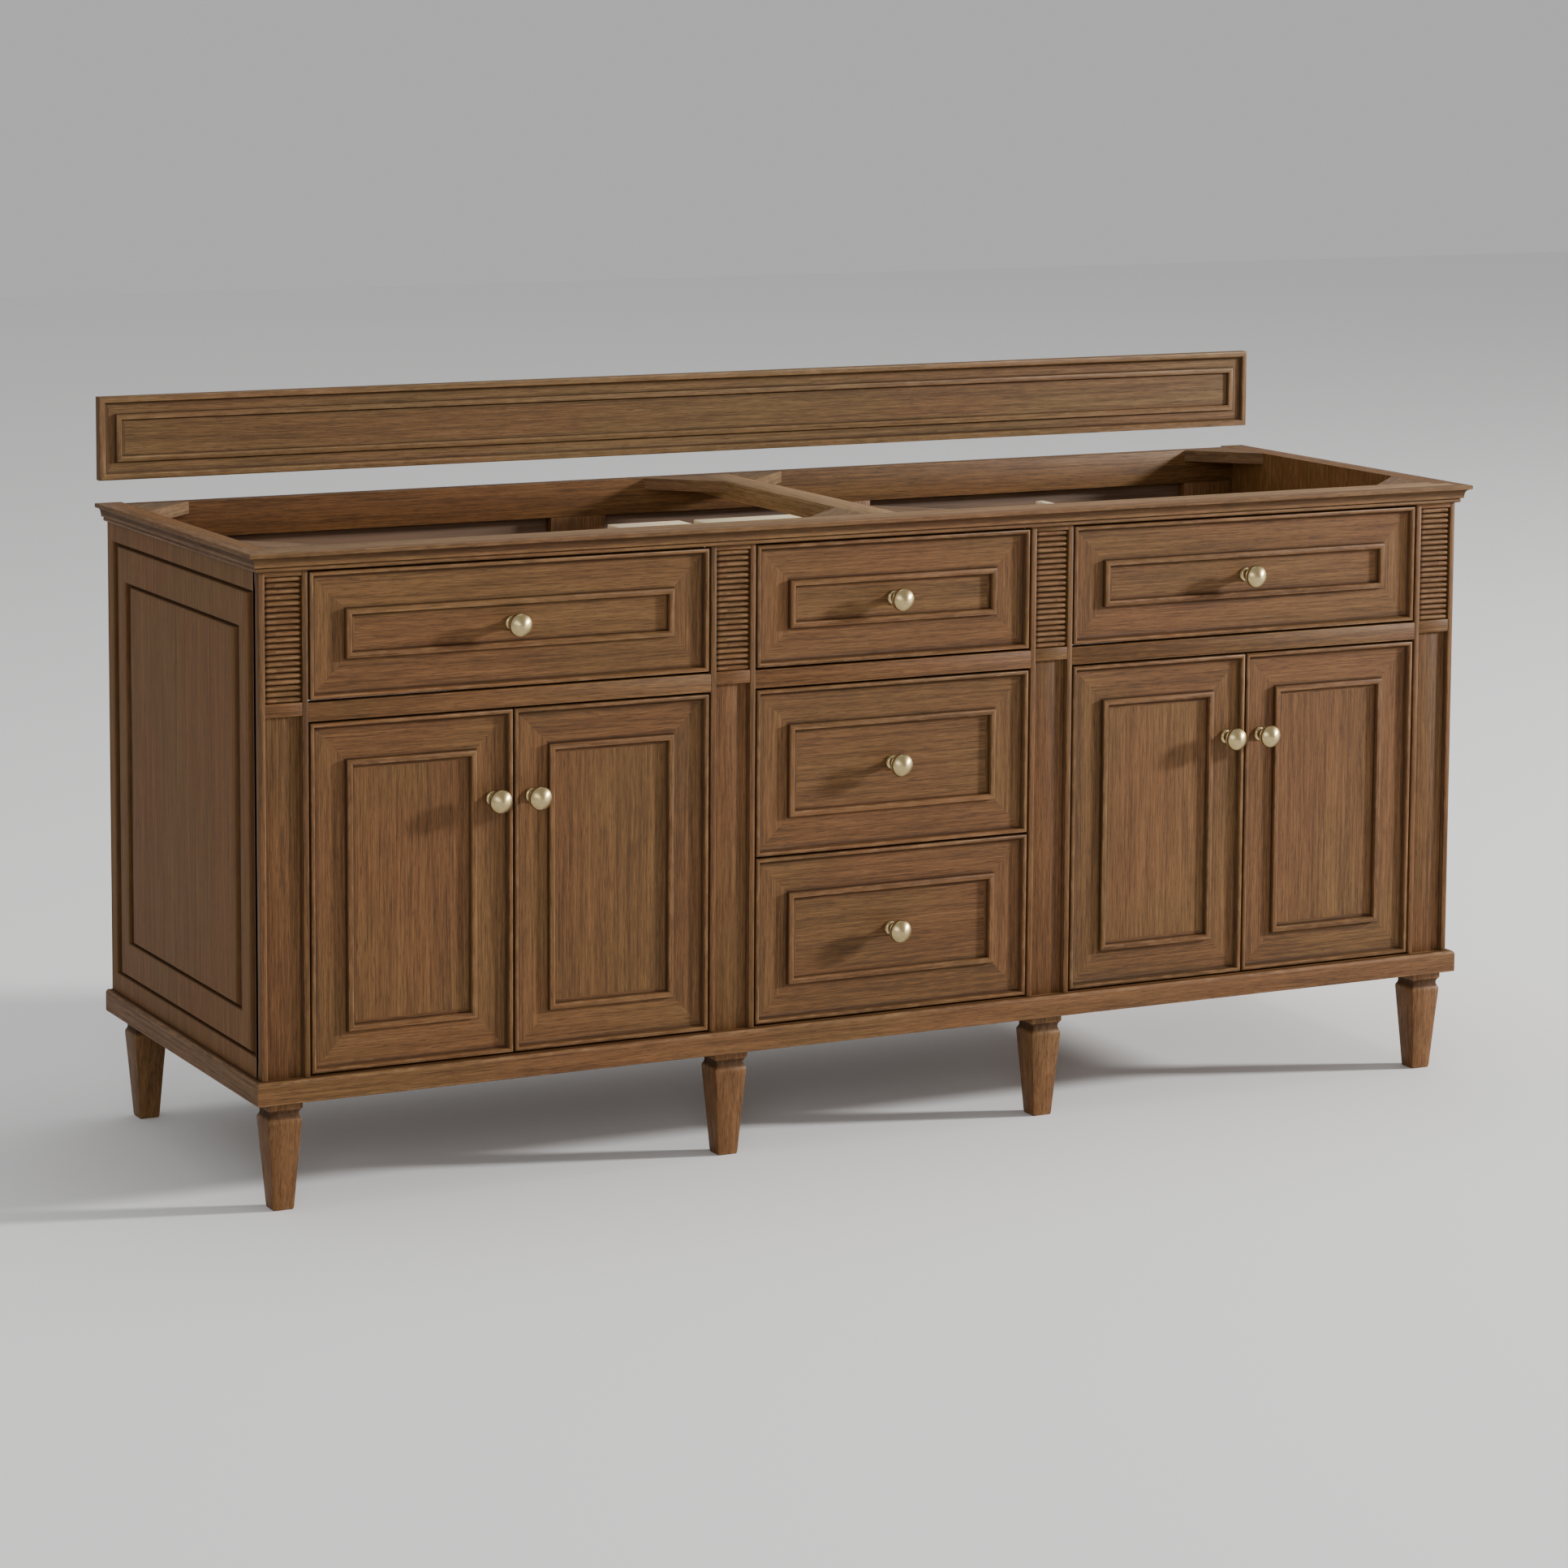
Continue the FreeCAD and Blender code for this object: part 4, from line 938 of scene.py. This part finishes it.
def inner_boards():
    """Hidden boards and metalwork keep their solids and take a finish."""
    for node in ("bottom_board", "back_boards"):
        finish_node(node, PLY)
    finish_node("hinge_plates", STEEL)
    a, b = low("partitions"), high("partitions")
    work = Workpiece("partitions")
    slab(work, a, (a.x + PARTITION_THICK, b.y, b.z), Z)
    slab(work, (b.x - PARTITION_THICK, a.y, a.z), b, Z)
    work.finished("cabinet", PARTITION, ["partitions"])
    work = Workpiece("runner_packing")
    a, b = low("runner_packing"), high("runner_packing")
    inner, outer = high("partitions").x - PARTITION_THICK, high("bottom_board").x
    centre, bay_out = low("pilaster_3").x, low("pilaster_4").x
    for side in (-1, 1):
        for near, far, heights in ((bay_out, outer, [b.z - PACKING_TALL]),
                                   (centre, inner, [low(f"drawer_{d}_runners").z for d in
                                                    ("top", "middle", "bottom")])):
            for z in heights:
                x0, x1 = sorted((side * near, side * far))
                slab(work, (x0, a.y, z), (x1, b.y, z + PACKING_TALL), Y)
    work.finished("cabinet", PALE, ["runner_packing"])


def finish_node(node, material):
    """A CAD solid that stays as it is, with its material."""
    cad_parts[node].data.materials.clear()
    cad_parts[node].data.materials.append(material)


WALL, FLOOR = 12 * MM, 6 * MM
NOTCH_WIDE, NOTCH_FRONT = 290 * MM, 100 * MM


def drawer_box(name):
    """A pale drawer box with eased walls. The outer ones are notched from the back, round a basin."""
    node = f"drawer_{name}_box"
    a, b = low(node), high(node)
    work = Workpiece(node)
    notched = name in ("left", "right")
    slab(work, a, (a.x + WALL, b.y, b.z), Y)
    slab(work, (b.x - WALL, a.y, a.z), b, Y)
    slab(work, (a.x + WALL, a.y, a.z), (b.x - WALL, a.y + WALL, b.z), X)
    if not notched:
        slab(work, (a.x + WALL, b.y - WALL, a.z), (b.x - WALL, b.y, b.z), X)
        slab(work, (a.x + WALL, a.y + WALL, a.z), (b.x - WALL, b.y - WALL, a.z + FLOOR), X, 0.3 * MM)
        return work.finished(f"drawer_{name}", PALE, [node])
    arm = (b.x - a.x - NOTCH_WIDE) / 2
    behind = a.y + NOTCH_FRONT
    slab(work, (a.x + arm, behind - WALL, a.z), (b.x - arm, behind, b.z), X)
    slab(work, (a.x + WALL, a.y + WALL, a.z), (b.x - WALL, behind - WALL, a.z + FLOOR), X, 0.3 * MM)
    for inner_wall, start in ((a.x + arm - WALL, a.x + WALL), (b.x - arm, b.x - arm + WALL)):
        end = start + arm - 2 * WALL
        slab(work, (inner_wall, behind - WALL, a.z), (inner_wall + WALL, b.y, b.z), Y)
        slab(work, (start, b.y - WALL, a.z), (end, b.y, b.z), X)
        slab(work, (start, behind - WALL, a.z), (end, b.y - WALL, a.z + FLOOR), X, 0.3 * MM)
    return work.finished(f"drawer_{name}", PALE, [node])


# ---- Runners and hinges ----

RUNNER_THICK, RUNNER_GAP = 6 * MM, 0.5 * MM
GAUGE = 1.4 * MM
SCREW_RADIUS, SCREW_HIGH = 3.2 * MM, 1.2 * MM
SCREWS_ALONG = (0.08, 0.45, 0.85)


def channel(work, lowest, highest, opens):
    """A folded steel channel along Y, whose open side looks along X towards opens (-1 or +1)."""
    gauge, lip, fold = GAUGE, 8 * MM, 0.8 * MM
    deep, tall = highest.x - lowest.x, highest.z - lowest.z
    lower_half = [(0, fold), (fold, 0), (deep - fold, 0), (deep, fold), (deep, lip), (deep - gauge, lip),
                  (deep - gauge, gauge + fold), (deep - gauge - fold, gauge), (gauge + fold, gauge),
                  (gauge, gauge + fold)]
    upper_half = [(x, tall - z) for x, z in reversed(lower_half)]
    web = lowest.x if opens > 0 else highest.x
    rings = []
    for y in (lowest.y, highest.y):
        rings.append([work.point((web + opens * x, y, lowest.z + z)) for x, z in lower_half + upper_half])
    board = Board(Y, Z)
    work.rings(rings, [board], cap_first=board, cap_last=board)


def screw_growth():
    """Low domed screw heads, looking along -X, one on every point given."""
    grow = Growth("screw_heads", {"Head Radius": "Float", "Head Height": "Float", "Material": "Material"})
    given = grow.given
    head = grow.add("GeometryNodeMeshCylinder", {
        "Vertices": 16, "Side Segments": 3, "Radius": given["Head Radius"], "Depth": given["Head Height"],
    }, fill_type="NGON").outputs["Mesh"]
    place = grow.add("GeometryNodeInputPosition").outputs[0]
    x, y, z = grow.add("ShaderNodeSeparateXYZ", {0: place}).outputs
    up = grow.math("ADD", grow.math("DIVIDE", z, given["Head Height"]), 0.5)
    narrowing = grow.math("MULTIPLY_ADD", grow.math("POWER", up, 2.0), -0.4, 1.0)
    domed = grow.add("ShaderNodeCombineXYZ", {
        0: z, 1: grow.math("MULTIPLY", x, narrowing), 2: grow.math("MULTIPLY", y, narrowing),
    }).outputs[0]
    head = grow.add("GeometryNodeSetPosition", {"Geometry": head, "Position": domed}).outputs[0]
    heads = grow.on_points(given["Geometry"], head)
    grow.output(grow.add("GeometryNodeRealizeInstances", {0: heads}).outputs[0])
    return grow


def runners():
    """Ball-bearing runners: fixed channels in the cabinet and screwed channels on each drawer box."""
    fixed = Workpiece("fixed_runners")
    screws = screw_growth()
    for name in ("left", "right", "top", "middle", "bottom"):
        node = f"drawer_{name}_runners"
        a, b = low(node), high(node)
        moving = Workpiece(node)
        spots = []
        for side in (-1, 1):
            outer = a.x if side < 0 else b.x
            x0, x1 = sorted((outer, outer - side * RUNNER_THICK))
            channel(moving, Vector((x0, a.y, a.z)), Vector((x1, b.y, b.z)), side)
            shift = side * (RUNNER_THICK + RUNNER_GAP)
            channel(fixed, Vector((x0 + shift, a.y, a.z)), Vector((x1 + shift, b.y, b.z)), -side)
            web = outer - side * (RUNNER_THICK - GAUGE - SCREW_HIGH / 2)
            spots += [(web, a.y + share * (b.y - a.y), (a.z + b.z) / 2) for share in SCREWS_ALONG]
        moving.finished(f"drawer_{name}", STEEL, [node])
        heads = screws.grown_on(spots, {
            "Head Radius": SCREW_RADIUS, "Head Height": SCREW_HIGH, "Material": STEEL,
        })
        heads.name = f"drawer_{name}_screws"
        settled(heads.name, heads, f"drawer_{name}", STEEL)
    fixed.finished("cabinet", STEEL, ["fixed_runners"])


# A hinge cup, from the door outwards: (radius, height) as shares of the cup's own.
HINGE_CUP = [
    (1.0, 0.0), (1.0, 0.14), (0.97, 0.19), (0.90, 0.21), (0.885, 0.30), (0.88, 0.86), (0.86, 0.95),
    (0.80, 1.0), (0.72, 0.98), (0.69, 0.90), (0.66, 0.45), (0.60, 0.40), (0.30, 0.38),
]


def hinge_cups(number):
    """The two pressed steel cups of a door's hidden hinges."""
    node = f"door_{number}_hinges"
    a, b = low(node), high(node)
    radius, deep = (b.x - a.x) / 2, b.y - a.y
    turns = 32
    work = Workpiece(node)
    for middle_z in (a.z + radius, b.z - radius):
        board = Board(Y, Z)
        rings = []
        for share, out in HINGE_CUP:
            rings.append([
                work.point((a.x + radius + radius * share * math.cos(t), a.y + deep * out,
                            middle_z + radius * share * math.sin(t)))
                for t in [2 * math.pi * i / turns for i in range(turns)]
            ])
        work.rings(rings, [board], cap_first=board, cap_last=board)
    work.finished(f"door_{number}", STEEL, [node])


# ---- Knobs ----

# A knob's outline from its seat to its crown: (radius, distance out) as shares of the head and the length.
KNOB = [
    (0.58, 0.0), (0.61, 0.015), (0.61, 0.045), (0.58, 0.062), (0.46, 0.075), (0.38, 0.11), (0.335, 0.20),
    (0.33, 0.31), (0.36, 0.39), (0.47, 0.445), (0.66, 0.482), (0.83, 0.512), (0.915, 0.545), (0.935, 0.58),
    (0.92, 0.612), (0.87, 0.630), (0.80, 0.636), (0.80, 0.656), (0.87, 0.660), (0.95, 0.672),
    (0.988, 0.695),
    (1.0, 0.73), (0.992, 0.768), (0.965, 0.80), (0.92, 0.822), (0.84, 0.850), (0.70, 0.892), (0.52, 0.934),
    (0.34, 0.966), (0.18, 0.988), (0.07, 0.998),
]


def knob(name, body):
    """A turned knob: flange, stem, collar, groove and a low domed face.

    It keeps the lathe's own coordinates, which the plating's rings follow.
    """
    a, b = low(name), high(name)
    centre_x, centre_z = (a.x + b.x) / 2, (a.z + b.z) / 2
    radius, long = (b.x - a.x) / 2, b.y - a.y
    turns = 48
    shape = bmesh.new()
    rings = []
    for share, out in KNOB:
        rings.append([
            shape.verts.new((centre_x + radius * share * math.cos(t), b.y - long * out,
                             centre_z + radius * share * math.sin(t)))
            for t in [2 * math.pi * i / turns for i in range(turns)]
        ])
    for near, far in zip(rings, rings[1:]):
        for i in range(turns):
            shape.faces.new((near[i], near[i - 1], far[i - 1], far[i]))
    for ring, out in ((rings[0], 0.0), (rings[-1], 1.0)):
        tip = shape.verts.new((centre_x, b.y - long * out, centre_z))
        for i in range(turns):
            shape.faces.new((ring[i - 1], ring[i], tip))
    bmesh.ops.recalc_face_normals(shape, faces=shape.faces[:])
    mesh = bpy.data.meshes.new(name)
    shape.to_mesh(mesh)
    shape.free()
    turned = mesh.attributes.new("turned", "FLOAT_VECTOR", "POINT")
    for corner, mark in zip(mesh.vertices, turned.data):
        mark.vector = (corner.co.x - centre_x, b.y - corner.co.y, corner.co.z - centre_z)
    settled(name, mesh, body, CHAMPAGNE, [name])


# ---- Doors and drawers ----

def fronts():
    for name in ("left", "right", "top", "middle", "bottom"):
        body = f"drawer_{name}"
        relief_front(f"{body}_front", f"{body}_front", body, X)
        knob(f"{body}_knob", body)
        drawer_box(name)
    for number in range(1, 5):
        body = f"door_{number}"
        relief_front(f"{body}_front", f"{body}_front", body, Z)
        knob(f"{body}_knob", body)
        hinge_cups(number)


make_mouldings()
side_panels()
pilasters()
reeded_panels()
rails()
top_frame()
feet()
backsplash()
pale_kickers()
inner_boards()
fronts()
runners()
